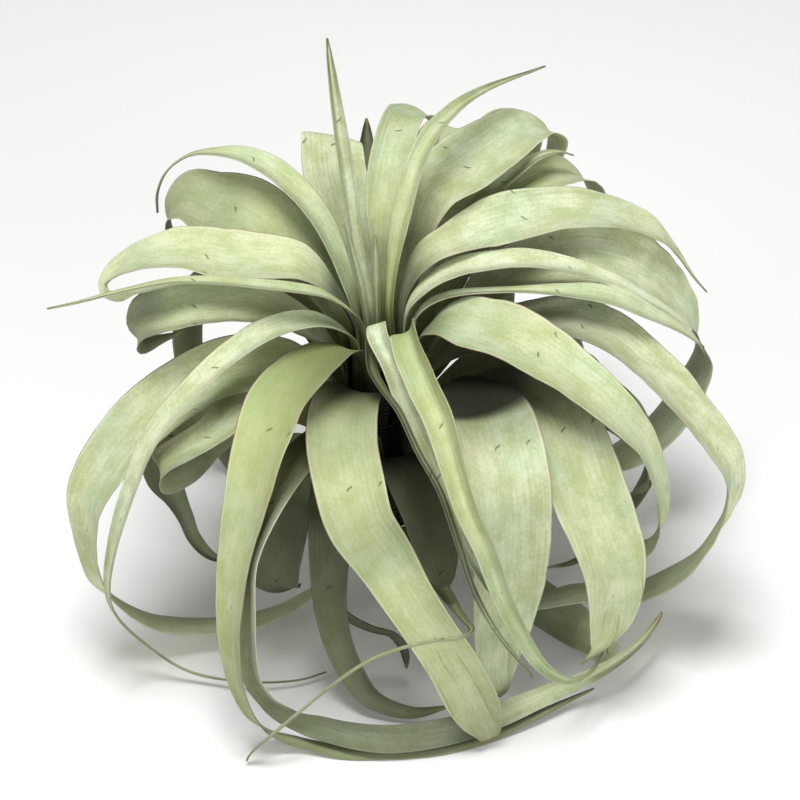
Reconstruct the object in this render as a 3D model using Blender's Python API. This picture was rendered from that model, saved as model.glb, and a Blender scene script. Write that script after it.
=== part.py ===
"""Tillandsia xerographica, an air plant with no pot, resting on a surface.

Metres, +Z up. The origin is on the surface, below the middle of the plant's box.
The driving dimensions below are in millimetres and degrees. The leaves are placed round the
rosette's own axis, by bearings read from above: 0 is +X, 90 is +Y and 270 is -Y.
"""

import math

import bmesh
import bpy
from mathutils import Vector

MM = 0.001

# Where the rosette's axis stands: the leaves reach further to the right and to the back
AXIS_X = -9.08
AXIS_Y = -8.69

# The stem that the leaves grow from, hidden in the middle of the rosette
STEM_TOP = 120
STEM_FOOT = 36
STEM_TOP_RADIUS = 3.5
STEM_FOOT_RADIUS = 9.0
STEM_SIDES = 16

# How each leaf leaves the stem: the youngest starts highest and stands steepest
FIRST_LEAF_HEIGHT = 117
LEAF_SPACING = 1.75
SHEATH_GAP = 0.32
NEST_WIDTH_START = 0.48
NEST_WIDTH_END = 0.8
SHEATH_LENGTH = 15.0
YOUNG_LEAN = 8.0
LEAN_PER_LEAF = 0.9
SHEATH_END_REACH = 15.0
BLADE_START_REACH = 34.0

# The leaf blade: its thickness along its length, and how far its edges stand up for their width
BASE_THICKNESS = 1.2
MIDDLE_THICKNESS = 0.9
TIP_THICKNESS = 0.65
BASE_SHARE = 0.3
CUPPING = 0.13
FLAT_BELOW = 6.0
TIGHTEST_CLASP = 0.55
SLOPE_STEP = 0.02

# How finely a leaf is cut: stations stand closer where it bends, and a radian counts as much
# as BEND_WEIGHT millimetres of length
BROAD_LEAF_WIDTH = 15.0
BROAD_STRIPS = 4
NARROW_STRIPS = 2
STATION_SPACING = 13.0
FEWEST_STATIONS = 9
MOST_STATIONS = 20
BEND_WEIGHT = 18.0
SAMPLES_PER_SPAN = 12

# Leaves from the youngest to the oldest. Each row of a route is (reach from the plant's axis, height,
# bearing, blade width), then the roll in degrees where the blade is turned about its own length.
LEAVES = {
    "leaf_01_centre_blade": [(5.5, 140, 112, 4), (6, 156, 112, 5), (6.5, 172, 112, 4), (7, 184, 112, 1)],
    "leaf_02_young_blade": [
        (7, 140, 150, 4), (8.5, 152, 150, 5), (10.5, 163, 150, 5), (13.5, 175, 150, 4), (17, 188, 150, 1),
    ],
    "leaf_03_front_channel": [
        (6, 136, 280, 5), (9, 149, 268, 8), (16, 156, 263, 9), (26, 156.5, 268.5, 8.5),
        (39, 152.5, 277, 8), (55, 149, 280, 8), (70, 142, 283.3, 8), (81, 132, 286, 7), (90, 121, 288, 6),
        (98, 108, 289.5, 4.5), (104, 93, 293, 4), (108, 75, 297.5, 1),
    ],
    "leaf_04_right_spear": [
        (6, 148, 58, 6), (9, 167, 60, 8), (14, 183, 60, 9), (20, 195, 60, 9), (28, 205, 60, 9),
        (40, 212, 60, 8.5), (60, 213, 60, 7), (80, 209, 60, 5.5), (102, 202, 60, 3.5), (124, 194, 60, 2),
        (138, 189, 60, 1),
    ],
    "leaf_05_left_ribbon": [
        (11, 150, 213, 8), (18, 161, 213, 9), (28, 171, 213.5, 9), (38, 176, 210, 9), (54, 181, 204.5, 9),
        (70, 185, 201, 7), (86, 187, 199, 5.5), (104, 186, 198, 3.5), (124, 183, 197, 2),
        (134, 181, 196, 1),
    ],
    "leaf_06_front_thread": [
        (11, 140, 251, 5), (15, 146, 254, 5), (24, 150, 260, 5), (36, 149.2, 264.2, 4.5),
        (50, 150.6, 270.8, 4), (66, 152, 276.3, 3), (80, 144.5, 280, 3), (91, 132, 284.3, 3),
        (100.5, 112.5, 287, 3), (107, 92, 289.5, 3), (111, 70, 294, 2.5), (114, 40, 302, 1),
    ],
    "leaf_07_tall_spear": [
        (9, 144, 120, 5), (14, 156, 120, 5), (19, 169, 121, 6), (27, 197, 120, 7), (34, 221, 120, 6),
        (40, 246, 120, 3.5), (42, 257, 120, 1),
    ],
    "leaf_08_right_ribbon": [
        (11, 152, 4, 8), (20, 164, 5, 12), (30, 169, 6, 14), (44, 171.5, 5.7, 14.5), (60, 171, 6, 14),
        (77, 166, 6, 13), (93, 159, 5, 11), (108, 149, 5, 9), (121, 138, 5, 6), (130, 126, 5, 3),
        (134, 118, 5, 1),
    ],
    "leaf_09_left_arch": [
        (12, 146, 151, 7), (17, 159, 146, 9), (27, 174, 140, 13), (41, 188, 141, 15), (54, 196, 143, 15),
        (68, 199, 145, 12), (82, 197, 147, 7), (93, 191, 148, 3), (93, 192, 148, 3), (101, 184, 150, 2),
        (105.5, 172, 151, 1.5), (105.5, 163, 151.5, 1),
    ],
    "leaf_10_back_blade": [
        (10, 148, 90, 9), (14, 165, 88, 12), (18, 179, 88, 15), (24, 191, 87, 16), (33, 202, 84, 17),
        (44, 207, 82, 16), (56, 206, 81, 16), (67, 200.5, 80, 15), (75, 195.5, 77, 12), (77, 190.5, 74, 9),
        (73, 187, 72, 5), (67, 186, 71, 1),
    ],
    "leaf_11_back_right_blade": [
        (10, 150, 35, 9), (15, 164, 33, 13), (22, 173.5, 26.5, 13), (32, 175.5, 26, 15), (44, 175, 28, 24),
        (58, 176, 27, 27), (76, 174, 27, 24), (94, 169.7, 26, 22), (111, 160.5, 26, 20),
        (126, 150, 25, 17), (137, 135.5, 25.5, 9), (147, 119, 25.5, 3), (154, 109, 25.5, 1),
    ],
    "leaf_12_left_blade": [
        (12, 146, 182, 12), (19, 160, 180, 15), (32, 173, 180, 24, -4), (48, 175.5, 180, 29, -6),
        (64, 176.5, 180, 29, -8), (80, 179.5, 180, 27, -4), (94, 177, 180, 22), (105, 171, 180, 18),
        (110, 166.5, 182, 12, 10), (107.5, 165, 183.5, 9, 30), (98, 169, 185.5, 9, 55),
        (86, 172.5, 187, 9, 60), (70, 175, 188, 1, 60),
    ],
    "leaf_13_front_right_channel": [
        (13, 144, 306, 9), (20, 153, 300, 10), (30, 160, 291.5, 12, 12), (44, 160.5, 288, 13, 15),
        (60, 158.5, 287.5, 13, 10), (75, 151.5, 288.3, 12), (88, 140, 288.8, 10), (98, 127, 289.8, 9),
        (105, 112, 292.4, 8.5), (110, 90, 295.3, 8), (114, 68, 299, 7), (117, 50, 303, 6),
        (118, 34, 309.5, 4.5), (117, 27, 316, 3.5), (115, 28, 322, 1),
    ],
    "leaf_14_back_right_arch": [
        (14, 138, 61, 12), (20, 154, 62, 15), (27, 172, 62.5, 18), (37, 185.5, 60, 27), (54, 187, 55, 31),
        (75, 187, 53.7, 29), (95, 184.5, 54, 25), (111, 178.5, 54, 20), (121, 168, 53, 14),
        (117, 157, 53, 9), (107, 152, 53, 1),
    ],
    "leaf_15_front_left_ribbon": [
        (14, 142, 212, 8), (24, 154, 213, 11), (37, 160, 212, 13), (52, 161, 211, 14), (68, 156, 211, 13),
        (84, 149, 212, 12), (106, 133, 213, 11), (119, 112, 214, 9), (128, 88, 214, 7), (131, 66, 213, 5),
        (127, 45, 211, 4), (115, 22, 211, 3), (101, 7, 217, 2.5), (86, 5, 229, 2), (72, 4, 241, 2),
        (63, 4, 248, 1),
    ],
    "leaf_16_right_rod": [
        (12, 142, 356, 6), (17, 154, 355, 6), (26, 160, 356, 5), (47, 163, 357, 4), (71, 163, 357.5, 5),
        (93, 159.5, 358, 9), (106, 152, 358.5, 10), (122, 141, 359.5, 8), (131, 132, 0, 1),
    ],
    "leaf_17_back_left_blade": [
        (15, 134, 113, 12), (22, 148, 112, 18), (32, 163, 112, 24), (42, 176, 112, 27), (51, 188, 112, 27),
        (60, 195, 109.5, 27), (69, 190.5, 107, 23, -4), (76, 182, 105.5, 20), (81, 170, 105, 16),
        (80, 156, 105, 8), (74, 148, 105, 1),
    ],
    "leaf_18_back_high_strip": [
        (15, 129, 44, 8), (24, 146, 46, 8), (38, 163, 47, 9), (56, 173, 46, 8), (74, 179, 45, 7),
        (90, 181, 45, 6), (104, 177, 45, 4), (113, 171, 45, 1),
    ],
    "leaf_19_left_back_blade": [
        (15, 130, 154, 12), (22, 145, 154, 18), (31, 159, 154, 25), (44, 171, 154, 30, -6),
        (60, 180, 154, 30, -20), (76, 178, 154, 31, -24), (87, 180, 155, 25, -18), (94, 173, 156, 19, -15),
        (93, 164, 157, 14, -10), (86, 160, 158, 8, -5), (76, 159, 158, 1),
    ],
    "leaf_20_front_left_blade": [
        (14, 132, 243, 10), (22, 145, 237, 16), (34, 150, 234, 24), (51, 150, 233.5, 30),
        (63, 145, 232.6, 31), (75, 137, 234.4, 29), (85, 127, 235.8, 26), (94, 116, 237, 23),
        (102, 102, 237.4, 20), (110, 82, 238, 16), (115, 62, 239, 13), (117, 42, 240.6, 11),
        (115, 24, 242.8, 9), (109, 11, 245, 8, 10), (103.5, 4, 250, 8, 25), (102, 0, 261, 8, 40),
        (101, 0, 271.5, 8, 40), (101.5, 0, 283, 7.5, 40), (102, 0, 294, 6.5, 40), (104, 3, 305, 5, 40),
        (107, 5, 313, 3.5, 40), (112.5, 6, 321.5, 1, 40),
    ],
    "leaf_21_right_blade": [
        (14.5, 136, 331, 12), (20, 147, 332, 17), (29, 155, 334, 26, 6), (42, 156, 334, 31, 10),
        (56, 156.5, 334, 31, 10), (70, 153.5, 333, 30, 8), (87, 147.5, 332, 26, 5),
        (103, 138.5, 332, 23, 3), (114, 126, 333.5, 19), (120.5, 113, 333.5, 17), (124, 97, 334, 15),
        (124, 82, 334.5, 14), (118, 68, 335, 13), (108, 60, 336, 11), (97, 57, 336, 1),
    ],
    "leaf_22_back_narrow": [
        (16, 126, 84, 12), (24, 142, 82, 14), (35, 156, 77, 17), (50, 167, 74, 20), (68, 175, 74, 20),
        (87, 176.5, 74, 18), (103, 172, 74, 14), (112, 158, 74, 9), (110, 144, 74, 4), (104, 137, 74, 1),
    ],
    "leaf_23_left_under_blade": [
        (16, 122, 187, 12), (23, 136, 187, 18), (34, 147, 187, 23), (52, 158, 187, 26, -5),
        (72, 160, 187, 27, -6), (87, 157, 187, 26, -8), (95, 154.5, 187, 25, -10),
        (98.5, 148, 187, 19, -10), (97, 144, 187, 12, -8), (90, 145.5, 187, 7), (80, 148, 187, 1),
    ],
    "leaf_24_far_right_strip": [
        (17, 124, 49.5, 12), (25, 139, 46, 16), (36, 152, 45, 20), (51, 163, 45, 25), (69, 169, 45, 26),
        (88, 170, 45, 26), (107, 165, 45, 24), (121, 154, 45, 19), (129, 139, 45, 13), (126, 125, 45, 7),
        (117, 118, 45, 1),
    ],
    "leaf_25_right_far_blade": [
        (17, 118, 349, 12), (25, 130, 350, 17), (37, 140, 350, 24), (56, 145.5, 352, 26),
        (76, 150, 354, 30), (93, 146, 352, 29), (109, 137, 349, 28), (124, 127, 346, 26),
        (137, 115, 344, 24), (146, 103, 343, 22), (147, 88, 342, 21), (141, 68, 342, 21),
        (133.5, 51, 343, 23), (122, 38, 343, 23), (109, 30, 341, 21), (98, 28, 340.5, 18),
        (89, 28, 338, 16), (82, 29.5, 332, 14), (76, 31, 325, 11), (69, 33, 318, 6), (63, 35, 313, 1),
    ],
    "leaf_26_back_far_blade": [
        (19, 112, 80, 12), (28, 125, 74, 16), (42, 139, 68, 21), (60, 151, 65, 24), (80, 160, 64, 24),
        (102, 167, 63.5, 23), (122, 166, 63, 19), (135, 157, 62, 14), (136, 143, 62, 9), (128, 134, 62, 1),
    ],
    "leaf_27_front_blade": [
        (16, 112, 252, 12), (23, 125, 252, 18), (34, 134, 251, 24), (50, 138, 253, 28), (63, 133, 256, 28),
        (73, 123, 260, 28), (81, 110, 264, 27), (87, 97, 270.5, 24), (92, 80, 276.3, 21),
        (96, 62, 282, 20), (99, 46, 286.5, 21), (102, 32, 289.5, 22), (105, 20, 292, 20),
        (107, 12, 293.5, 15), (108, 8, 294, 8), (106, 4, 294.5, 2),
    ],
    "leaf_28_right_back_blade": [
        (17, 106, 19, 12), (25, 118, 20, 16), (37, 131, 22, 21), (54, 150.5, 24, 24, 4),
        (74, 154, 21, 30, 12), (93, 153.5, 20, 32, 22), (113, 142, 20, 32, 28), (129, 125, 20, 30, 25),
        (139, 108, 20, 25, 20), (144, 88, 20, 23, 8), (138, 68, 20, 22), (128, 53, 20, 22),
        (118, 46, 20, 21), (108, 41.5, 20, 18), (98, 40.5, 20, 11), (89, 42, 20, 1),
    ],
    "leaf_29_left_front_blade": [
        (18, 108, 190, 12), (26, 121.5, 192.5, 18), (38, 131, 196.5, 25), (52, 136, 199, 29),
        (66, 136.5, 199, 30), (79, 132.5, 199, 30), (93, 126.5, 200, 29.5), (106, 118, 201, 29),
        (118, 106.5, 202, 27), (127, 94.5, 203, 23), (130, 80, 204, 18), (129.5, 63, 204, 14),
        (125.5, 46, 203.6, 15), (116, 30, 202.5, 18), (103, 18, 203, 20), (86, 12, 205, 19),
        (68, 11, 209, 18), (55, 14, 214, 16), (45, 19, 219, 13), (35, 25, 225, 8), (28, 30, 231, 1),
    ],
    "leaf_30_front_right_blade": [
        (18, 104, 305, 12), (26, 119, 307, 20), (37, 131, 308, 28), (52, 137.5, 309, 32),
        (67.2, 140.3, 307.7, 34), (82.5, 134.6, 303.8, 35), (92.6, 122.6, 302, 34),
        (96.3, 104.3, 301.3, 33), (96, 82, 301, 32), (94, 60, 301, 28), (92, 40, 301, 22),
        (91, 24, 301.5, 15), (91, 12, 302.5, 8), (90, 7, 303, 1),
    ],
    "leaf_31_left_short_blade": [
        (19, 102, 221, 12), (27, 116, 219, 16), (38, 126, 214, 22), (52, 130, 213, 25), (67, 130, 214, 23),
        (82, 128, 217, 19.5), (97, 126.5, 217.3, 19), (107, 123.5, 216.5, 17), (106, 118, 216, 15),
        (95, 115.5, 215, 15), (79, 118, 212, 13), (66, 120, 213, 7), (58, 120.5, 213, 1),
    ],
    "leaf_32_right_front_blade": [
        (20, 98, 337, 12), (29, 112, 335, 19), (42, 122, 333, 25), (58, 130, 333, 26),
        (72.1, 132.8, 331.6, 30), (82.6, 130.9, 328.0, 31), (94.2, 123.2, 323.2, 31),
        (103.5, 111.9, 321.0, 32), (113.0, 97.8, 320.3, 30), (119.5, 83.7, 319.9, 28),
        (122, 66, 319.3, 24), (120, 48, 319.5, 18), (116, 36, 320, 9), (110, 24, 318, 1),
    ],
    "leaf_33_back_left_low": [
        (19, 96, 133, 12), (28, 112, 133, 20), (40, 126, 133, 27), (58, 135, 133, 30), (78, 134, 133, 30),
        (96, 123, 133, 28), (109, 105, 135, 25), (114, 82, 137, 21), (112, 56, 138, 17),
        (106, 32, 136.5, 14), (100, 8, 133, 11), (93, 0, 133, 9), (83, 0, 133, 8), (72, 0, 134, 7),
        (58, 5, 136, 1),
    ],
    "leaf_34_back_right_low": [
        (20, 92, 66, 12), (29, 108, 66, 20), (41, 121, 66, 27), (60, 130, 66, 30), (80, 129, 66, 30),
        (98, 118, 66, 28), (111, 99, 66, 25), (117, 76, 66, 22), (116, 51, 66, 18), (110, 28, 66, 14),
        (103, 8, 66, 11), (96, 0, 65.5, 9), (86, 0, 65, 8), (75, 0, 64, 7), (60, 5, 62, 1),
    ],
    "leaf_35_front_ring": [
        (20, 96, 253, 12), (29, 109, 250, 15), (42, 118.5, 243, 17), (58, 121, 242, 19),
        (76, 119, 241, 19), (91, 112, 240.5, 16), (103, 98, 240, 13), (108, 80, 241, 12),
        (109, 60, 241, 12), (108, 42, 241, 12, -6), (105, 27, 243, 12, -18), (101, 15, 248, 12, -38),
        (99, 10, 257, 12, -58), (101, 9, 270, 12, -73), (100.5, 9, 283, 12, -76), (100, 9, 295, 11, -76),
        (101, 10, 304, 10, -76), (104.5, 12, 312, 8, -76), (110, 15, 317.5, 6.5, -76),
        (116, 18, 323.5, 5.5, -76), (122, 22, 331, 4, -76), (125, 26, 336, 3, -76), (126, 28, 338, 1, -76),
    ],
    "leaf_36_right_under_blade": [
        (21, 88, 342, 12), (30, 102, 342, 18), (44, 115, 342, 22), (66, 125, 342, 24), (86, 126, 341, 24),
        (102, 119, 341, 21), (113, 106, 341, 16), (114, 92, 341, 10), (107, 83, 341, 1),
    ],
    "leaf_37_back_middle_low": [
        (21, 84, 98, 12), (30, 98, 98, 20), (43, 109, 98, 24), (60, 119, 97, 25), (76, 130, 96, 22),
        (88, 144, 95, 15), (94, 159, 94.3, 9), (96, 170, 94, 5.5), (97, 178, 94, 1),
    ],
    "leaf_38_inner_right_front": [
        (21, 86, 287, 12), (30, 98, 285, 17), (42, 105, 284, 23), (56, 106, 284, 23), (67, 99, 285.5, 20),
        (73, 86, 287, 18), (76, 74, 288.5, 14), (77.5, 65, 289.5, 1),
    ],
    "leaf_39_inner_front": [
        (21, 80, 250, 12), (30, 92, 249, 17), (42, 100, 248, 20), (56, 101, 250.5, 19),
        (67, 91, 252.5, 18), (71, 76, 253, 16), (73, 58, 253.5, 14), (74, 40, 255.5, 13),
        (76, 24, 260, 12), (80, 11, 267, 10), (84, 6, 278, 7), (86, 7, 289, 1),
    ],
    "leaf_40_low_left": [
        (22, 78, 207, 12), (31, 89, 213, 18), (44, 95, 220, 25), (56, 90, 224, 28), (64, 76, 227, 28),
        (68, 61, 228.5, 25), (66, 49, 229.5, 19), (60, 41, 230, 10), (53, 38, 230, 1),
    ],
    "leaf_41_low_right": [
        (22, 76, 8, 12), (31, 88, 8, 18), (45, 98, 8, 22), (64, 103, 8, 24), (86, 100, 8, 23),
        (104, 88, 8, 20), (114, 71, 8, 17), (114, 50, 8, 13), (106, 30, 8, 9), (96, 13, 8, 6),
        (84, 3, 7, 4), (72, 3, 5, 1),
    ],
    "leaf_42_low_left_back": [
        (22, 72, 150, 12), (31, 84, 154, 17), (46, 94, 164, 22), (64, 101, 177, 25), (82, 102, 188, 25),
        (92, 98, 195, 21), (95, 91, 199, 16), (91.5, 81.5, 201.5, 9), (88, 70, 203, 6.5), (85, 58, 203, 6),
        (79, 47, 204, 5), (72, 41, 205, 1),
    ],
    "leaf_43_low_right_back": [
        (22, 68, 45, 12), (31, 79, 42, 18), (46, 88, 39, 22), (68, 95, 36, 24), (90, 93, 36, 23),
        (107, 80, 36, 20), (113, 60, 36, 15), (106, 40, 36, 9), (96, 30, 36, 1),
    ],
    "leaf_44_inner_curl": [
        (22, 60, 264, 10), (34, 68, 260, 11), (45, 68, 252, 11), (54, 61, 246.5, 11),
        (58.5, 50, 248.5, 11), (61, 40, 255.5, 11), (62, 34, 266, 11), (63, 31, 274.5, 9),
        (63.5, 21, 278.6, 6), (65, 12, 279, 1),
    ],
    "leaf_45_low_right_front": [
        (22, 56, 330, 12), (34, 50, 330, 16), (54, 35, 331, 21), (72, 21, 332, 24), (85, 14, 333, 24),
        (96, 8, 334, 21), (104, 3, 335, 14), (109, 0, 335, 10), (103, 0, 335, 8), (94, 2, 335, 1),
    ],
    "leaf_46_front_strip": [
        (22, 43, 295, 9), (36, 50, 293, 9), (54, 52, 292, 8), (72, 54, 292, 6), (86, 59, 291, 4.5),
        (95, 62, 290.8, 3.5), (103, 65.5, 290.3, 3), (107, 67, 287, 2.5), (106.5, 67.5, 282, 2.5),
        (104.5, 63.5, 275, 3), (102, 54, 267.4, 3), (104, 40, 259, 3.2), (109, 27, 252.5, 3.2),
        (116.5, 16, 247.2, 3), (119.5, 6, 243.6, 2.5), (120, 2, 242.8, 2),
    ],
}


def stem_radius(height):
    share = (height - STEM_FOOT) / (STEM_TOP - STEM_FOOT)
    return STEM_FOOT_RADIUS + share * (STEM_TOP_RADIUS - STEM_FOOT_RADIUS)


def place(reach, height, bearing):
    angle = math.radians(bearing)
    return Vector((reach * math.cos(angle), reach * math.sin(angle), height))


def eased(value):
    value = min(max(value, 0.0), 1.0)
    return value * value * (3 - 2 * value)


def sheath_rows(order, bearing, blade_width):
    """The first two points of a leaf: on the stem, and where its clasping base ends."""
    foot_height = FIRST_LEAF_HEIGHT - LEAF_SPACING * order
    lean = math.radians(YOUNG_LEAN + LEAN_PER_LEAF * order)
    foot_reach = stem_radius(foot_height) + SHEATH_GAP + BASE_THICKNESS / 2 * math.cos(lean)
    neck_reach = foot_reach + SHEATH_LENGTH * math.sin(lean)
    neck_height = foot_height + SHEATH_LENGTH * math.cos(lean)
    return [(foot_reach, foot_height, bearing, blade_width), (neck_reach, neck_height, bearing, blade_width)]


def smooth_route(rows):
    """Samples of a centripetal Catmull-Rom curve through the rows, as (place, width, roll)."""
    knots = []
    for row in rows:
        reach, height, bearing, width = row[:4]
        roll = row[4] if len(row) > 4 else 0.0
        knots.append((place(reach, height, bearing), width, roll))
    first, last = knots[0], knots[-1]
    before = (first[0] * 2 - knots[1][0], first[1], first[2])
    after = (last[0] * 2 - knots[-2][0], last[1], last[2])
    knots = [before, *knots, after]
    samples = []
    for a, b, c, d in zip(knots, knots[1:], knots[2:], knots[3:]):
        t0 = 0.0
        t1 = t0 + math.sqrt((b[0] - a[0]).length)
        t2 = t1 + math.sqrt((c[0] - b[0]).length)
        t3 = t2 + math.sqrt((d[0] - c[0]).length)
        for step in range(SAMPLES_PER_SPAN):
            share = step / SAMPLES_PER_SPAN
            t = t1 + share * (t2 - t1)
            ab = a[0] * ((t1 - t) / (t1 - t0)) + b[0] * ((t - t0) / (t1 - t0))
            bc = b[0] * ((t2 - t) / (t2 - t1)) + c[0] * ((t - t1) / (t2 - t1))
            cd = c[0] * ((t3 - t) / (t3 - t2)) + d[0] * ((t - t2) / (t3 - t2))
            abc = ab * ((t2 - t) / (t2 - t0)) + bc * ((t - t0) / (t2 - t0))
            bcd = bc * ((t3 - t) / (t3 - t1)) + cd * ((t - t1) / (t3 - t1))
            spot = abc * ((t2 - t) / (t2 - t1)) + bcd * ((t - t1) / (t2 - t1))
            width = b[1] + (c[1] - b[1]) * share
            roll = b[2] + (c[2] - b[2]) * eased(share)
            samples.append((spot, width, roll))
    samples.append(knots[-2])
    return samples


def ribbon_frames(samples):
    """For each sample: place, width, the direction across the blade and the upper face's normal."""
    spots = [sample[0] for sample in samples]
    start = spots[0]
    across = Vector((-start.y, start.x, 0)).normalized()
    frames = []
    for index, (spot, width, roll) in enumerate(samples):
        ahead = spots[min(index + 1, len(spots) - 1)]
        behind = spots[max(index - 1, 0)]
        along = (ahead - behind).normalized()
        across = (across - along * across.dot(along)).normalized()
        normal = along.cross(across)
        turn = math.radians(roll)
        turned = across * math.cos(turn) + normal * math.sin(turn)
        frames.append((spot, width, turned, along.cross(turned)))
    return frames


def nest_width(spot):
    """The widest that a blade may be this near the stem, where the leaves crowd round it."""
    reach = math.hypot(spot.x, spot.y)
    blade = eased((reach - SHEATH_END_REACH) / (BLADE_START_REACH - SHEATH_END_REACH))
    return reach * (NEST_WIDTH_START + blade * (NEST_WIDTH_END - NEST_WIDTH_START))


def pick_stations(frames):
    """Stations spread along the leaf, closer together where it bends."""
    measure = [0.0]
    length = 0.0
    for (spot, _, _, normal), (next_spot, _, _, next_normal) in zip(frames, frames[1:]):
        run = (next_spot - spot).length
        bend = normal.angle(next_normal, 0.0)
        length += run
        measure.append(measure[-1] + run + BEND_WEIGHT * bend)
    count = min(max(round(length / STATION_SPACING), FEWEST_STATIONS), MOST_STATIONS)
    stations = []
    index = 0
    for step in range(count):
        wanted = measure[-1] * step / (count - 1)
        while index < len(frames) - 2 and measure[index + 1] < wanted:
            index += 1
        run = measure[index + 1] - measure[index]
        share = min(max((wanted - measure[index]) / run, 0.0), 1.0)
        spot, width, across, normal = frames[index]
        next_spot, next_width, next_across, next_normal = frames[index + 1]
        station_spot = spot.lerp(next_spot, share)
        stations.append((
            station_spot,
            min(width + (next_width - width) * share, nest_width(station_spot)),
            across.lerp(next_across, share).normalized(),
            normal.lerp(next_normal, share).normalized(),
            step / (count - 1),
        ))
    return stations


def cross_section(spot, width, normal, offset):
    """How far the blade stands up at this offset from its middle: clasping the stem, then cupped."""
    reach = math.hypot(spot.x, spot.y)
    blade = eased((reach - SHEATH_END_REACH) / (BLADE_START_REACH - SHEATH_END_REACH))
    steep = max(0.0, -normal.dot(Vector((spot.x, spot.y, 0)).normalized()))
    radius = max(reach, TIGHTEST_CLASP * width)
    clasp = radius - math.sqrt(radius * radius - offset * offset)
    cup = CUPPING * width * (2 * offset / width) ** 2 * eased(spot.z / FLAT_BELOW)
    return (1 - blade) * steep * clasp + blade * cup


def section_slope(spot, width, normal, offset):
    if offset == 0:
        return 0.0
    rise = cross_section(spot, width, normal, offset)
    rise_inward = cross_section(spot, width, normal, offset * (1 - SLOPE_STEP))
    return (rise - rise_inward) / (SLOPE_STEP * offset)


def blade_thickness(share):
    if share < BASE_SHARE:
        return BASE_THICKNESS + (MIDDLE_THICKNESS - BASE_THICKNESS) * share / BASE_SHARE
    return MIDDLE_THICKNESS + (TIP_THICKNESS - MIDDLE_THICKNESS) * (share - BASE_SHARE) / (1 - BASE_SHARE)


def leaf_skins(stations, strips):
    """The two faces' points, station by station. A blade that meets the surface lies flat on it."""
    upper, lower = [], []
    for spot, width, across, normal, share in stations:
        thickness = blade_thickness(share)
        upper_row, lower_row = [], []
        for column in range(strips + 1):
            offset = width * (column / strips - 0.5)
            face = (normal - across * section_slope(spot, width, normal, offset)).normalized()
            middle = spot + across * offset + normal * cross_section(spot, width, normal, offset)
            top = middle + face * (thickness / 2)
            bottom = middle - face * (thickness / 2)
            under, over = (bottom, top) if face.z > 0 else (top, bottom)
            if under.z < 0:
                under.z = 0.0
                over.z = max(over.z, thickness)
            upper_row.append(top)
            lower_row.append(bottom)
        upper.append(upper_row)
        lower.append(lower_row)
    return upper, lower


def leaf_mesh(name, stations, strips):
    """A closed blade whose two faces are split into triangles alike."""
    upper, lower = leaf_skins(stations, strips)
    mesh = bmesh.new()
    tops = [[mesh.verts.new(point * MM) for point in row] for row in upper]
    bottoms = [[mesh.verts.new(point * MM) for point in row] for row in lower]

    def quad(a, b, c, d):
        mesh.faces.new((a, b, c))
        mesh.faces.new((a, c, d))

    last_row, last_column = len(stations) - 1, strips
    for row in range(last_row):
        for column in range(strips):
            quad(tops[row][column], tops[row + 1][column], tops[row + 1][column + 1], tops[row][column + 1])
            a, b = bottoms[row][column], bottoms[row + 1][column]
            c, d = bottoms[row + 1][column + 1], bottoms[row][column + 1]
            mesh.faces.new((a, c, b))
            mesh.faces.new((a, d, c))
        quad(tops[row][0], bottoms[row][0], bottoms[row + 1][0], tops[row + 1][0])
        quad(tops[row][last_column], tops[row + 1][last_column],
             bottoms[row + 1][last_column], bottoms[row][last_column])
    for column in range(strips):
        quad(tops[0][column], tops[0][column + 1], bottoms[0][column + 1], bottoms[0][column])
        quad(tops[last_row][column], bottoms[last_row][column],
             bottoms[last_row][column + 1], tops[last_row][column + 1])
    data = bpy.data.meshes.new(name)
    mesh.to_mesh(data)
    mesh.free()
    return data


def finish(name, colour, roughness):
    material = bpy.data.materials.new(name)
    material.use_nodes = True
    shader = material.node_tree.nodes["Principled BSDF"]
    shader.inputs["Base Color"].default_value = (*colour, 1)
    shader.inputs["Roughness"].default_value = roughness
    return material


def add_rosette_axis():
    axis = bpy.data.objects.new("rosette_axis", None)
    axis.location = (AXIS_X * MM, AXIS_Y * MM, 0)
    bpy.context.scene.collection.objects.link(axis)
    return axis


def add_object(name, data, material, axis):
    data.materials.append(material)
    made = bpy.data.objects.new(name, data)
    made.parent = axis
    bpy.context.scene.collection.objects.link(made)
    return made


def add_leaf(order, name, route, material, axis):
    bearing = route[0][2]
    widest = max(row[3] for row in route)
    rows = sheath_rows(order, bearing, route[0][3]) + route
    stations = pick_stations(ribbon_frames(smooth_route(rows)))
    strips = BROAD_STRIPS if widest > BROAD_LEAF_WIDTH else NARROW_STRIPS
    return add_object(name, leaf_mesh(name, stations, strips), material, axis)


def add_stem(material, axis):
    mesh = bmesh.new()
    bmesh.ops.create_cone(
        mesh, cap_ends=True, segments=STEM_SIDES,
        radius1=STEM_FOOT_RADIUS * MM, radius2=STEM_TOP_RADIUS * MM, depth=(STEM_TOP - STEM_FOOT) * MM,
    )
    bmesh.ops.translate(mesh, verts=mesh.verts, vec=(0, 0, (STEM_TOP + STEM_FOOT) / 2 * MM))
    data = bpy.data.meshes.new("stem")
    mesh.to_mesh(data)
    mesh.free()
    return add_object("stem", data, material, axis)


def build():
    for old in list(bpy.data.objects):
        bpy.data.objects.remove(old, do_unlink=True)
    leaf_green = finish("silver green leaf", (0.46, 0.52, 0.33), 0.8)
    stem_brown = finish("stem brown", (0.22, 0.16, 0.10), 0.9)
    axis = add_rosette_axis()
    add_stem(stem_brown, axis)
    for order, (name, route) in enumerate(LEAVES.items()):
        add_leaf(order, name, route, leaf_green, axis)


build()
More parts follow.
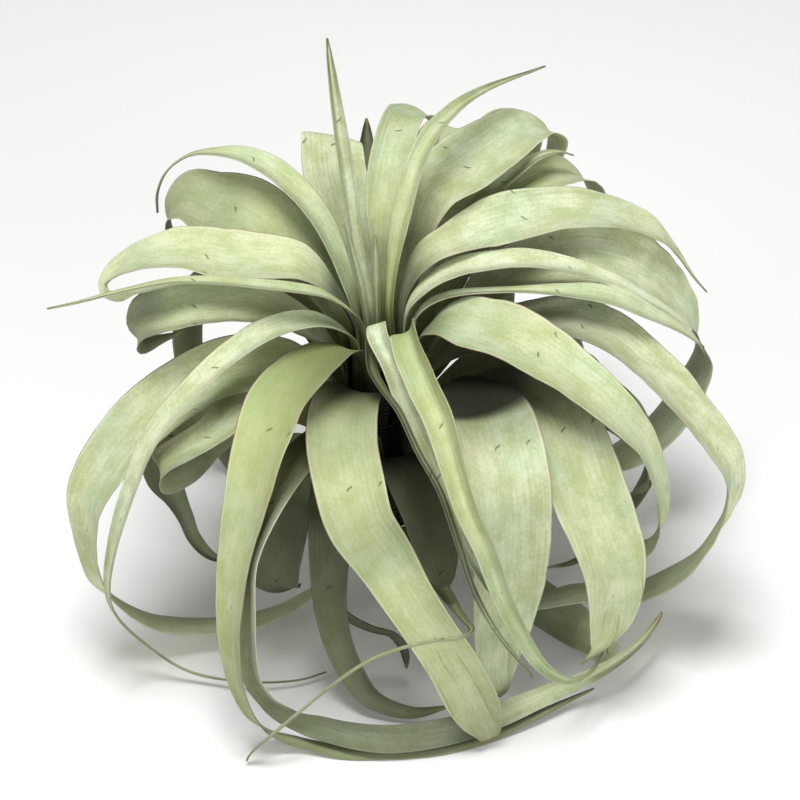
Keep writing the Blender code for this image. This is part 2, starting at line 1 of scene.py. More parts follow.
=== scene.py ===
# %% [markdown]
# # An air plant, leaf by leaf
# This plant is a rosette: forty-six leaves grow from one short stem, each rises a little, arches over
# and curls back under the plant as it thins to a tip. The solids hold where each leaf goes. This script
# makes the leaves again with smooth, thin, slightly wavy blades, and gives them their velvety silver skin.
# The whole plant follows one rule, a blade swept along a route, so one Geometry Nodes tree makes them all.

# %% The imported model
import math

import bmesh
import bpy
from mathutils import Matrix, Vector


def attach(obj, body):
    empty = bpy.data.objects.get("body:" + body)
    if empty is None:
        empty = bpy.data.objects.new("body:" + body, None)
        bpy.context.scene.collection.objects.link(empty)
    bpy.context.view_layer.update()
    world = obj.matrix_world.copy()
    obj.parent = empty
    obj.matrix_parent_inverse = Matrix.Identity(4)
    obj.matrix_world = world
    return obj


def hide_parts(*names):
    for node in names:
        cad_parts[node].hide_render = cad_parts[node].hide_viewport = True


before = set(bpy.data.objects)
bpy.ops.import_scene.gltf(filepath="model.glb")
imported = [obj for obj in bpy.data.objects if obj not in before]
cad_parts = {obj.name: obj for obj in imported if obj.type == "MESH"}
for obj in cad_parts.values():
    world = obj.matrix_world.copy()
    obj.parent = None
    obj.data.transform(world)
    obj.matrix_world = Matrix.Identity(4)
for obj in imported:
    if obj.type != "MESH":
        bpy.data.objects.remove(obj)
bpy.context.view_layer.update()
MM = 0.001


def add_to_scene(name, data):
    made = bpy.data.objects.new(name, data)
    bpy.context.scene.collection.objects.link(made)
    return made


# %% [markdown]
# ## The camera
# The plant is seen from the front and from well above its middle, through a long lens that hardly
# narrows what is further off. The lens follows from three sizes: how wide the picture is at the plant,
# how far off the camera stands, and Blender's usual sensor.

# %% The camera
PICTURE_WIDTH = 330.4 * MM
CAMERA_DISTANCE = 1200 * MM
CAMERA_HEIGHT_ANGLE = math.radians(40)
LOOKED_AT = Vector((-1.68, -8.69, 104)) * MM
SENSOR_WIDTH = 36

camera = add_to_scene("camera", bpy.data.cameras.new("camera"))
camera.data.sensor_width = SENSOR_WIDTH
camera.data.lens = SENSOR_WIDTH * CAMERA_DISTANCE / PICTURE_WIDTH
back_and_up = Vector((0, -math.cos(CAMERA_HEIGHT_ANGLE), math.sin(CAMERA_HEIGHT_ANGLE)))
camera.location = LOOKED_AT + back_and_up * CAMERA_DISTANCE
camera.rotation_euler = (math.pi / 2 - CAMERA_HEIGHT_ANGLE, 0, 0)
bpy.context.scene.camera = camera
print("lens in mm:", round(camera.data.lens, 1))

# %% [markdown]
# ## Light and floor
# A soft lamp hangs almost straight above the plant and lights the tops of its arches. Two larger, weaker
# ones stand in front, one on each side, and show the blades that hang down, and an even white sky does
# the rest. Each lamp below has its place and its size in metres, and its power in watts. The floor is
# plain and pale. Leaves that curl under the plant are lit by what it sends back, so its tone decides how
# dark the inside of the rosette looks. It lies a hair below the leaves that rest on it, because two faces
# at the same height flicker.

# %% Light and floor
LAMPS = {
    "soft lamp above": ((-0.1, -0.2, 1.5), 0.55, 19),
    "soft lamp at the right": ((0.9, -1.2, 0.6), 0.9, 9),
    "soft lamp at the left": ((-1.1, -0.9, 0.9), 0.9, 5),
}
SKY_STRENGTH = 0.24
FLOOR_SIDE = 6
FLOOR_DROP = 0.3 * MM
FLOOR_COLOUR = (0.92, 0.92, 0.91, 1)
FLOOR_ROUGHNESS = 0.9
FLOOR_SHINE = 0.1

for name, (spot, size, power) in LAMPS.items():
    lamp = add_to_scene(name, bpy.data.lights.new(name, "AREA"))
    lamp.data.size = size
    lamp.data.energy = power
    lamp.location = spot
    lamp.rotation_euler = (LOOKED_AT - lamp.location).to_track_quat("-Z", "Y").to_euler()

sky = bpy.data.worlds.new("even sky")
sky.use_nodes = True
sky.node_tree.nodes["Background"].inputs["Color"].default_value = (1, 1, 1, 1)
sky.node_tree.nodes["Background"].inputs["Strength"].default_value = SKY_STRENGTH
bpy.context.scene.world = sky
bpy.context.scene.view_settings.view_transform = "Standard"

floor = add_to_scene("floor", bpy.data.meshes.new("floor"))
floor_mesh = bmesh.new()
bmesh.ops.create_grid(floor_mesh, x_segments=1, y_segments=1, size=FLOOR_SIDE / 2)
bmesh.ops.translate(floor_mesh, vec=(0, 0, -FLOOR_DROP), verts=floor_mesh.verts)
floor_mesh.to_mesh(floor.data)
floor_mesh.free()
floor_finish = bpy.data.materials.new("pale floor")
floor_finish.use_nodes = True
floor_shader = floor_finish.node_tree.nodes["Principled BSDF"]
floor_shader.inputs["Base Color"].default_value = FLOOR_COLOUR
floor_shader.inputs["Roughness"].default_value = FLOOR_ROUGHNESS
floor_shader.inputs["Specular IOR Level"].default_value = FLOOR_SHINE
floor.data.materials.append(floor_finish)
print("lamps:", len(LAMPS), "sky strength:", SKY_STRENGTH)

# %% [markdown]
# ## Where the leaves go
# Every leaf is a route from the stem to its tip. A row of a route is the reach from the rosette's axis
# and the height above the floor, in millimetres, the bearing seen from above (0 is right, 90 is back,
# 270 is front) and the blade's width. A fifth number rolls the blade about its own length, for the
# leaves whose tails lie on their edge. These are the rows that the solids were made from, less one of
# left_arch's that only bent its tail.

# %% The leaves' routes, from the youngest to the oldest
LEAVES = {
    "centre_blade": [(5.5, 140, 112, 4), (6, 156, 112, 5), (6.5, 172, 112, 4), (7, 184, 112, 1)],
    "young_blade": [
        (7, 140, 150, 4), (8.5, 152, 150, 5), (10.5, 163, 150, 5), (13.5, 175, 150, 4), (17, 188, 150, 1),
    ],
    "front_channel": [
        (6, 136, 280, 5), (9, 149, 268, 8), (16, 156, 263, 9), (26, 156.5, 268.5, 8.5),
        (39, 152.5, 277, 8), (55, 149, 280, 8), (70, 142, 283.3, 8), (81, 132, 286, 7), (90, 121, 288, 6),
        (98, 108, 289.5, 4.5), (104, 93, 293, 4), (108, 75, 297.5, 1),
    ],
    "right_spear": [
        (6, 148, 58, 6), (9, 167, 60, 8), (14, 183, 60, 9), (20, 195, 60, 9), (28, 205, 60, 9),
        (40, 212, 60, 8.5), (60, 213, 60, 7), (80, 209, 60, 5.5), (102, 202, 60, 3.5), (124, 194, 60, 2),
        (138, 189, 60, 1),
    ],
    "left_ribbon": [
        (11, 150, 213, 8), (18, 161, 213, 9), (28, 171, 213.5, 9), (38, 176, 210, 9), (54, 181, 204.5, 9),
        (70, 185, 201, 7), (86, 187, 199, 5.5), (104, 186, 198, 3.5), (124, 183, 197, 2),
        (134, 181, 196, 1),
    ],
    "front_thread": [
        (11, 140, 251, 5), (15, 146, 254, 5), (24, 150, 260, 5), (36, 149.2, 264.2, 4.5),
        (50, 150.6, 270.8, 4), (66, 152, 276.3, 3), (80, 144.5, 280, 3), (91, 132, 284.3, 3),
        (100.5, 112.5, 287, 3), (107, 92, 289.5, 3), (111, 70, 294, 2.5), (114, 40, 302, 1),
    ],
    "tall_spear": [
        (9, 144, 120, 5), (14, 156, 120, 5), (19, 169, 121, 6), (27, 197, 120, 7), (34, 221, 120, 6),
        (40, 246, 120, 3.5), (42, 257, 120, 1),
    ],
    "right_ribbon": [
        (11, 152, 4, 8), (20, 164, 5, 12), (30, 169, 6, 14), (44, 171.5, 5.7, 14.5), (60, 171, 6, 14),
        (77, 166, 6, 13), (93, 159, 5, 11), (108, 149, 5, 9), (121, 138, 5, 6), (130, 126, 5, 3),
        (134, 118, 5, 1),
    ],
    "left_arch": [
        (12, 146, 151, 7), (17, 159, 146, 9), (27, 174, 140, 13), (41, 188, 141, 15), (54, 196, 143, 15),
        (68, 199, 145, 12), (82, 197, 147, 7), (93, 192, 148, 3), (101, 184, 150, 2),
        (105.5, 172, 151, 1.5), (105.5, 163, 151.5, 1),
    ],
    "back_blade": [
        (10, 148, 90, 9), (14, 165, 88, 12), (18, 179, 88, 15), (24, 191, 87, 16), (33, 202, 84, 17),
        (44, 207, 82, 16), (56, 206, 81, 16), (67, 200.5, 80, 15), (75, 195.5, 77, 12), (77, 190.5, 74, 9),
        (73, 187, 72, 5), (67, 186, 71, 1),
    ],
    "back_right_blade": [
        (10, 150, 35, 9), (15, 164, 33, 13), (22, 173.5, 26.5, 13), (32, 175.5, 26, 15), (44, 175, 28, 24),
        (58, 176, 27, 27), (76, 174, 27, 24), (94, 169.7, 26, 22), (111, 160.5, 26, 20),
        (126, 150, 25, 17), (137, 135.5, 25.5, 9), (147, 119, 25.5, 3), (154, 109, 25.5, 1),
    ],
    "left_blade": [
        (12, 146, 182, 12), (19, 160, 180, 15), (32, 173, 180, 24, -4), (48, 175.5, 180, 29, -6),
        (64, 176.5, 180, 29, -8), (80, 179.5, 180, 27, -4), (94, 177, 180, 22), (105, 171, 180, 18),
        (110, 166.5, 182, 12, 10), (107.5, 165, 183.5, 9, 30), (98, 169, 185.5, 9, 55),
        (86, 172.5, 187, 9, 60), (70, 175, 188, 1, 60),
    ],
    "front_right_channel": [
        (13, 144, 306, 9), (20, 153, 300, 10), (30, 160, 291.5, 12, 12), (44, 160.5, 288, 13, 15),
        (60, 158.5, 287.5, 13, 10), (75, 151.5, 288.3, 12), (88, 140, 288.8, 10), (98, 127, 289.8, 9),
        (105, 112, 292.4, 8.5), (110, 90, 295.3, 8), (114, 68, 299, 7), (117, 50, 303, 6),
        (118, 34, 309.5, 4.5), (117, 27, 316, 3.5), (115, 28, 322, 1),
    ],
    "back_right_arch": [
        (14, 138, 61, 12), (20, 154, 62, 15), (27, 172, 62.5, 18), (37, 185.5, 60, 27), (54, 187, 55, 31),
        (75, 187, 53.7, 29), (95, 184.5, 54, 25), (111, 178.5, 54, 20), (121, 168, 53, 14),
        (117, 157, 53, 9), (107, 152, 53, 1),
    ],
    "front_left_ribbon": [
        (14, 142, 212, 8), (24, 154, 213, 11), (37, 160, 212, 13), (52, 161, 211, 14), (68, 156, 211, 13),
        (84, 149, 212, 12), (106, 133, 213, 11), (119, 112, 214, 9), (128, 88, 214, 7), (131, 66, 213, 5),
        (127, 45, 211, 4), (115, 22, 211, 3), (101, 7, 217, 2.5), (86, 5, 229, 2), (72, 4, 241, 2),
        (63, 4, 248, 1),
    ],
    "right_rod": [
        (12, 142, 356, 6), (17, 154, 355, 6), (26, 160, 356, 5), (47, 163, 357, 4), (71, 163, 357.5, 5),
        (93, 159.5, 358, 9), (106, 152, 358.5, 10), (122, 141, 359.5, 8), (131, 132, 0, 1),
    ],
    "back_left_blade": [
        (15, 134, 113, 12), (22, 148, 112, 18), (32, 163, 112, 24), (42, 176, 112, 27), (51, 188, 112, 27),
        (60, 195, 109.5, 27), (69, 190.5, 107, 23, -4), (76, 182, 105.5, 20), (81, 170, 105, 16),
        (80, 156, 105, 8), (74, 148, 105, 1),
    ],
    "back_high_strip": [
        (15, 129, 44, 8), (24, 146, 46, 8), (38, 163, 47, 9), (56, 173, 46, 8), (74, 179, 45, 7),
        (90, 181, 45, 6), (104, 177, 45, 4), (113, 171, 45, 1),
    ],
    "left_back_blade": [
        (15, 130, 154, 12), (22, 145, 154, 18), (31, 159, 154, 25), (44, 171, 154, 30, -6),
        (60, 180, 154, 30, -20), (76, 178, 154, 31, -24), (87, 180, 155, 25, -18), (94, 173, 156, 19, -15),
        (93, 164, 157, 14, -10), (86, 160, 158, 8, -5), (76, 159, 158, 1),
    ],
    "front_left_blade": [
        (14, 132, 243, 10), (22, 145, 237, 16), (34, 150, 234, 24), (51, 150, 233.5, 30),
        (63, 145, 232.6, 31), (75, 137, 234.4, 29), (85, 127, 235.8, 26), (94, 116, 237, 23),
        (102, 102, 237.4, 20), (110, 82, 238, 16), (115, 62, 239, 13), (117, 42, 240.6, 11),
        (115, 24, 242.8, 9), (109, 11, 245, 8, 10), (103.5, 4, 250, 8, 25), (102, 0, 261, 8, 40),
        (101, 0, 271.5, 8, 40), (101.5, 0, 283, 7.5, 40), (102, 0, 294, 6.5, 40), (104, 3, 305, 5, 40),
        (107, 5, 313, 3.5, 40), (112.5, 6, 321.5, 1, 40),
    ],
    "right_blade": [
        (14.5, 136, 331, 12), (20, 147, 332, 17), (29, 155, 334, 26, 6), (42, 156, 334, 31, 10),
        (56, 156.5, 334, 31, 10), (70, 153.5, 333, 30, 8), (87, 147.5, 332, 26, 5),
        (103, 138.5, 332, 23, 3), (114, 126, 333.5, 19), (120.5, 113, 333.5, 17), (124, 97, 334, 15),
        (124, 82, 334.5, 14), (118, 68, 335, 13), (108, 60, 336, 11), (97, 57, 336, 1),
    ],
    "back_narrow": [
        (16, 126, 84, 12), (24, 142, 82, 14), (35, 156, 77, 17), (50, 167, 74, 20), (68, 175, 74, 20),
        (87, 176.5, 74, 18), (103, 172, 74, 14), (112, 158, 74, 9), (110, 144, 74, 4), (104, 137, 74, 1),
    ],
    "left_under_blade": [
        (16, 122, 187, 12), (23, 136, 187, 18), (34, 147, 187, 23), (52, 158, 187, 26, -5),
        (72, 160, 187, 27, -6), (87, 157, 187, 26, -8), (95, 154.5, 187, 25, -10),
        (98.5, 148, 187, 19, -10), (97, 144, 187, 12, -8), (90, 145.5, 187, 7), (80, 148, 187, 1),
    ],
    "far_right_strip": [
        (17, 124, 49.5, 12), (25, 139, 46, 16), (36, 152, 45, 20), (51, 163, 45, 25), (69, 169, 45, 26),
        (88, 170, 45, 26), (107, 165, 45, 24), (121, 154, 45, 19), (129, 139, 45, 13), (126, 125, 45, 7),
        (117, 118, 45, 1),
    ],
    "right_far_blade": [
        (17, 118, 349, 12), (25, 130, 350, 17), (37, 140, 350, 24), (56, 145.5, 352, 26),
        (76, 150, 354, 30), (93, 146, 352, 29), (109, 137, 349, 28), (124, 127, 346, 26),
        (137, 115, 344, 24), (146, 103, 343, 22), (147, 88, 342, 21), (141, 68, 342, 21),
        (133.5, 51, 343, 23), (122, 38, 343, 23), (109, 30, 341, 21), (98, 28, 340.5, 18),
        (89, 28, 338, 16), (82, 29.5, 332, 14), (76, 31, 325, 11), (69, 33, 318, 6), (63, 35, 313, 1),
    ],
    "back_far_blade": [
        (19, 112, 80, 12), (28, 125, 74, 16), (42, 139, 68, 21), (60, 151, 65, 24), (80, 160, 64, 24),
        (102, 167, 63.5, 23), (122, 166, 63, 19), (135, 157, 62, 14), (136, 143, 62, 9), (128, 134, 62, 1),
    ],
    "front_blade": [
        (16, 112, 252, 12), (23, 125, 252, 18), (34, 134, 251, 24), (50, 138, 253, 28), (63, 133, 256, 28),
        (73, 123, 260, 28), (81, 110, 264, 27), (87, 97, 270.5, 24), (92, 80, 276.3, 21),
        (96, 62, 282, 20), (99, 46, 286.5, 21), (102, 32, 289.5, 22), (105, 20, 292, 20),
        (107, 12, 293.5, 15), (108, 8, 294, 8), (106, 4, 294.5, 2),
    ],
    "right_back_blade": [
        (17, 106, 19, 12), (25, 118, 20, 16), (37, 131, 22, 21), (54, 150.5, 24, 24, 4),
        (74, 154, 21, 30, 12), (93, 153.5, 20, 32, 22), (113, 142, 20, 32, 28), (129, 125, 20, 30, 25),
        (139, 108, 20, 25, 20), (144, 88, 20, 23, 8), (138, 68, 20, 22), (128, 53, 20, 22),
        (118, 46, 20, 21), (108, 41.5, 20, 18), (98, 40.5, 20, 11), (89, 42, 20, 1),
    ],
    "left_front_blade": [
        (18, 108, 190, 12), (26, 121.5, 192.5, 18), (38, 131, 196.5, 25), (52, 136, 199, 29),
        (66, 136.5, 199, 30), (79, 132.5, 199, 30), (93, 126.5, 200, 29.5), (106, 118, 201, 29),
        (118, 106.5, 202, 27), (127, 94.5, 203, 23), (130, 80, 204, 18), (129.5, 63, 204, 14),
        (125.5, 46, 203.6, 15), (116, 30, 202.5, 18), (103, 18, 203, 20), (86, 12, 205, 19),
        (68, 11, 209, 18), (55, 14, 214, 16), (45, 19, 219, 13), (35, 25, 225, 8), (28, 30, 231, 1),
    ],
    "front_right_blade": [
        (18, 104, 305, 12), (26, 119, 307, 20), (37, 131, 308, 28), (52, 137.5, 309, 32),
        (67.2, 140.3, 307.7, 34), (82.5, 134.6, 303.8, 35), (92.6, 122.6, 302, 34),
        (96.3, 104.3, 301.3, 33), (96, 82, 301, 32), (94, 60, 301, 28), (92, 40, 301, 22),
        (91, 24, 301.5, 15), (91, 12, 302.5, 8), (90, 7, 303, 1),
    ],
    "left_short_blade": [
        (19, 102, 221, 12), (27, 116, 219, 16), (38, 126, 214, 22), (52, 130, 213, 25), (67, 130, 214, 23),
        (82, 128, 217, 19.5), (97, 126.5, 217.3, 19), (107, 123.5, 216.5, 17), (106, 118, 216, 15),
        (95, 115.5, 215, 15), (79, 118, 212, 13), (66, 120, 213, 7), (58, 120.5, 213, 1),
    ],
    "right_front_blade": [
        (20, 98, 337, 12), (29, 112, 335, 19), (42, 122, 333, 25), (58, 130, 333, 26),
        (72.1, 132.8, 331.6, 30), (82.6, 130.9, 328.0, 31), (94.2, 123.2, 323.2, 31),
        (103.5, 111.9, 321.0, 32), (113.0, 97.8, 320.3, 30), (119.5, 83.7, 319.9, 28),
        (122, 66, 319.3, 24), (120, 48, 319.5, 18), (116, 36, 320, 9), (110, 24, 318, 1),
    ],
    "back_left_low": [
        (19, 96, 133, 12), (28, 112, 133, 20), (40, 126, 133, 27), (58, 135, 133, 30), (78, 134, 133, 30),
        (96, 123, 133, 28), (109, 105, 135, 25), (114, 82, 137, 21), (112, 56, 138, 17),
        (106, 32, 136.5, 14), (100, 8, 133, 11), (93, 0, 133, 9), (83, 0, 133, 8), (72, 0, 134, 7),
        (58, 5, 136, 1),
    ],
    "back_right_low": [
        (20, 92, 66, 12), (29, 108, 66, 20), (41, 121, 66, 27), (60, 130, 66, 30), (80, 129, 66, 30),
        (98, 118, 66, 28), (111, 99, 66, 25), (117, 76, 66, 22), (116, 51, 66, 18), (110, 28, 66, 14),
        (103, 8, 66, 11), (96, 0, 65.5, 9), (86, 0, 65, 8), (75, 0, 64, 7), (60, 5, 62, 1),
    ],
    "front_ring": [
        (20, 96, 253, 12), (29, 109, 250, 15), (42, 118.5, 243, 17), (58, 121, 242, 19),
        (76, 119, 241, 19), (91, 112, 240.5, 16), (103, 98, 240, 13), (108, 80, 241, 12),
        (109, 60, 241, 12), (108, 42, 241, 12, -6), (105, 27, 243, 12, -18), (101, 15, 248, 12, -38),
        (99, 10, 257, 12, -58), (101, 9, 270, 12, -73), (100.5, 9, 283, 12, -76), (100, 9, 295, 11, -76),
        (101, 10, 304, 10, -76), (104.5, 12, 312, 8, -76), (110, 15, 317.5, 6.5, -76),
        (116, 18, 323.5, 5.5, -76), (122, 22, 331, 4, -76), (125, 26, 336, 3, -76), (126, 28, 338, 1, -76),
    ],
    "right_under_blade": [
        (21, 88, 342, 12), (30, 102, 342, 18), (44, 115, 342, 22), (66, 125, 342, 24), (86, 126, 341, 24),
        (102, 119, 341, 21), (113, 106, 341, 16), (114, 92, 341, 10), (107, 83, 341, 1),
    ],
    "back_middle_low": [
        (21, 84, 98, 12), (30, 98, 98, 20), (43, 109, 98, 24), (60, 119, 97, 25), (76, 130, 96, 22),
        (88, 144, 95, 15), (94, 159, 94.3, 9), (96, 170, 94, 5.5), (97, 178, 94, 1),
    ],
    "inner_right_front": [
        (21, 86, 287, 12), (30, 98, 285, 17), (42, 105, 284, 23), (56, 106, 284, 23), (67, 99, 285.5, 20),
        (73, 86, 287, 18), (76, 74, 288.5, 14), (77.5, 65, 289.5, 1),
    ],
    "inner_front": [
        (21, 80, 250, 12), (30, 92, 249, 17), (42, 100, 248, 20), (56, 101, 250.5, 19),
        (67, 91, 252.5, 18), (71, 76, 253, 16), (73, 58, 253.5, 14), (74, 40, 255.5, 13),
        (76, 24, 260, 12), (80, 11, 267, 10), (84, 6, 278, 7), (86, 7, 289, 1),
    ],
    "low_left": [
        (22, 78, 207, 12), (31, 89, 213, 18), (44, 95, 220, 25), (56, 90, 224, 28), (64, 76, 227, 28),
        (68, 61, 228.5, 25), (66, 49, 229.5, 19), (60, 41, 230, 10), (53, 38, 230, 1),
    ],
    "low_right": [
        (22, 76, 8, 12), (31, 88, 8, 18), (45, 98, 8, 22), (64, 103, 8, 24), (86, 100, 8, 23),
        (104, 88, 8, 20), (114, 71, 8, 17), (114, 50, 8, 13), (106, 30, 8, 9), (96, 13, 8, 6),
        (84, 3, 7, 4), (72, 3, 5, 1),
    ],
    "low_left_back": [
        (22, 72, 150, 12), (31, 84, 154, 17), (46, 94, 164, 22), (64, 101, 177, 25), (82, 102, 188, 25),
        (92, 98, 195, 21), (95, 91, 199, 16), (91.5, 81.5, 201.5, 9), (88, 70, 203, 6.5), (85, 58, 203, 6),
        (79, 47, 204, 5), (72, 41, 205, 1),
    ],
    "low_right_back": [
        (22, 68, 45, 12), (31, 79, 42, 18), (46, 88, 39, 22), (68, 95, 36, 24), (90, 93, 36, 23),
        (107, 80, 36, 20), (113, 60, 36, 15), (106, 40, 36, 9), (96, 30, 36, 1),
    ],
    "inner_curl": [
        (22, 60, 264, 10), (34, 68, 260, 11), (45, 68, 252, 11), (54, 61, 246.5, 11),
        (58.5, 50, 248.5, 11), (61, 40, 255.5, 11), (62, 34, 266, 11), (63, 31, 274.5, 9),
        (63.5, 21, 278.6, 6), (65, 12, 279, 1),
    ],
    "low_right_front": [
        (22, 56, 330, 12), (34, 50, 330, 16), (54, 35, 331, 21), (72, 21, 332, 24), (85, 14, 333, 24),
        (96, 8, 334, 21), (104, 3, 335, 14), (109, 0, 335, 10), (103, 0, 335, 8), (94, 2, 335, 1),
    ],
    "front_strip": [
        (22, 43, 295, 9), (36, 50, 293, 9), (54, 52, 292, 8), (72, 54, 292, 6), (86, 59, 291, 4.5),
        (95, 62, 290.8, 3.5), (103, 65.5, 290.3, 3), (107, 67, 287, 2.5), (106.5, 67.5, 282, 2.5),
        (104.5, 63.5, 275, 3), (102, 54, 267.4, 3), (104, 40, 259, 3.2), (109, 27, 252.5, 3.2),
        (116.5, 16, 247.2, 3), (119.5, 6, 243.6, 2.5), (120, 2, 242.8, 2),
    ],
}
print("leaves in the table:", len(LEAVES))

# %% [markdown]
# ## From rows to a smooth route
# A leaf bends without corners, so a smooth curve goes through all the rows. Its centripetal form is
# used because it makes no loops where rows stand close together at a tight curl. Each leaf first gets
# two rows more, from the stem up along its clasping base.

# %% A smooth curve through the rows
AXIS = Vector((-9.08, -8.69, 0))
STEM_TOP = 120
STEM_FOOT = 36
STEM_TOP_RADIUS = 3.5
STEM_FOOT_RADIUS = 9.0
FIRST_LEAF_HEIGHT = 117
LEAF_SPACING = 1.75
SHEATH_GAP = 0.32
SHEATH_LENGTH = 15.0
YOUNG_LEAN = 8.0
LEAN_PER_LEAF = 0.9
BASE_THICKNESS = 1.2
SAMPLES_PER_SPAN = 12


def stem_radius(height):
    share = (height - STEM_FOOT) / (STEM_TOP - STEM_FOOT)
    return STEM_FOOT_RADIUS + share * (STEM_TOP_RADIUS - STEM_FOOT_RADIUS)


def eased(value):
    value = min(max(value, 0.0), 1.0)
    return value * value * (3 - 2 * value)


def place(reach, height, bearing):
    angle = math.radians(bearing)
    return Vector((reach * math.cos(angle), reach * math.sin(angle), height))


def sheath_rows(order, bearing, width):
    """The first two rows of a leaf: on the stem, and where its clasping base ends."""
    foot_height = FIRST_LEAF_HEIGHT - LEAF_SPACING * order
    lean = math.radians(YOUNG_LEAN + LEAN_PER_LEAF * order)
    foot_reach = stem_radius(foot_height) + SHEATH_GAP + BASE_THICKNESS / 2 * math.cos(lean)
    neck_reach = foot_reach + SHEATH_LENGTH * math.sin(lean)
    neck_height = foot_height + SHEATH_LENGTH * math.cos(lean)
    return [(foot_reach, foot_height, bearing, width), (neck_reach, neck_height, bearing, width)]


def between(points, knots, t):
    """The smooth curve through the middle two of four points, with a knot for each point."""
    a, b, c, d = points
    t0, t1, t2, t3 = knots
    ab = a * ((t1 - t) / (t1 - t0)) + b * ((t - t0) / (t1 - t0))
    bc = b * ((t2 - t) / (t2 - t1)) + c * ((t - t1) / (t2 - t1))
    cd = c * ((t3 - t) / (t3 - t2)) + d * ((t - t2) / (t3 - t2))
    abc = ab * ((t2 - t) / (t2 - t0)) + bc * ((t - t0) / (t2 - t0))
    bcd = bc * ((t3 - t) / (t3 - t1)) + cd * ((t - t1) / (t3 - t1))
    return abc * ((t2 - t) / (t2 - t1)) + bcd * ((t - t1) / (t2 - t1))


def smooth_route(rows):
    """Samples of the curve through the rows, as (place, width, roll)."""
    marks = []
    for row in rows:
        roll = row[4] if len(row) > 4 else 0.0
        marks.append((place(*row[:3]), row[3], roll))
    before = (marks[0][0] * 2 - marks[1][0], marks[0][1], marks[0][2])
    after = (marks[-1][0] * 2 - marks[-2][0], marks[-1][1], marks[-1][2])
    marks = [before, *marks, after]
    samples = []
    for four in zip(marks, marks[1:], marks[2:], marks[3:]):
        points = [mark[0] for mark in four]
        knots = [0.0]
        for here, there in zip(points, points[1:]):
            knots.append(knots[-1] + math.sqrt((there - here).length))
        for number in range(SAMPLES_PER_SPAN):
            share = number / SAMPLES_PER_SPAN
            spot = between(points, knots, knots[1] + share * (knots[2] - knots[1]))
            width = four[1][1] + (four[2][1] - four[1][1]) * share
            roll = four[1][2] + (four[2][2] - four[1][2]) * eased(share)
            samples.append((spot, width, roll))
    samples.append(marks[-2])
    return samples


print("samples on the first leaf:", len(smooth_route(LEAVES["centre_blade"])))

# %% [markdown]
# ## Which way a blade faces
# A ribbon needs a direction across it at every sample. It starts level, square to the stem, and is
# carried along the route so that it turns only as much as the route does. The samples are then
# replaced by stations at equal steps, close enough for a smooth outline. Near the stem, where the
# leaves crowd round it, a blade may only be as wide as its reach allows.

# %% Stations along a leaf
STATION_STEP = 1.8
WIDTH_SMOOTHING = 5
NEST_WIDTH_START = 0.6
NEST_WIDTH_END = 1.0
SHEATH_END_REACH = 15.0
BLADE_START_REACH = 34.0


def ribbon_frames(samples):
    """For each sample: place, width, the direction across the blade and the upper face's normal."""
    spots = [sample[0] for sample in samples]
    across = Vector((-spots[0].y, spots[0].x, 0)).normalized()
    frames = []
    for index, (spot, width, roll) in enumerate(samples):
        ahead = spots[min(index + 1, len(spots) - 1)]
        behind = spots[max(index - 1, 0)]
        along = (ahead - behind).normalized()
        across = (across - along * across.dot(along)).normalized()
        turn = math.radians(roll)
        turned = across * math.cos(turn) + along.cross(across) * math.sin(turn)
        frames.append((spot, width, turned, along.cross(turned)))
    return frames


def blade_share(spot):
    """0 where a leaf clasps the stem, 1 where it is a free blade."""
    reach = math.hypot(spot.x, spot.y)
    return eased((reach - SHEATH_END_REACH) / (BLADE_START_REACH - SHEATH_END_REACH))


def nest_width(spot):
    """The widest that a blade may be at this spot."""
    reach = math.hypot(spot.x, spot.y)
    return reach * (NEST_WIDTH_START + blade_share(spot) * (NEST_WIDTH_END - NEST_WIDTH_START))


def evenly_spaced(frames):
    """Stations at equal steps along the leaf: place, width, across, facing and distance from the foot."""
    lengths = [0.0]
    for here, there in zip(frames, frames[1:]):
        lengths.append(lengths[-1] + (there[0] - here[0]).length)
    count = round(lengths[-1] / STATION_STEP)
    stations = []
    index = 0
    for number in range(count + 1):
        wanted = lengths[-1] * number / count
        while index < len(frames) - 2 and lengths[index + 1] < wanted:
            index += 1
        share = min((wanted - lengths[index]) / (lengths[index + 1] - lengths[index]), 1.0)
        here, there = frames[index], frames[index + 1]
        spot = here[0].lerp(there[0], share)
        width = min(here[1] + (there[1] - here[1]) * share, nest_width(spot))
        across = here[2].lerp(there[2], share).normalized()
        facing = here[3].lerp(there[3], share).normalized()
        stations.append((spot, width, across, facing, wanted))
    return stations


def smoothed(widths):
    """A running mean that narrows at the two ends, so that the foot and the tip keep their widths."""
    smooth = []
    for index in range(len(widths)):
        span = min(WIDTH_SMOOTHING, index, len(widths) - 1 - index)
        window = widths[index - span:index + span + 1]
        smooth.append(sum(window) / len(window))
    return smooth


def leaf_stations(order, rows):
    whole = sheath_rows(order, rows[0][2], rows[0][3]) + rows
    return evenly_spaced(ribbon_frames(smooth_route(whole)))


print("stations on a long leaf:", len(leaf_stations(28, LEAVES["left_front_blade"])))
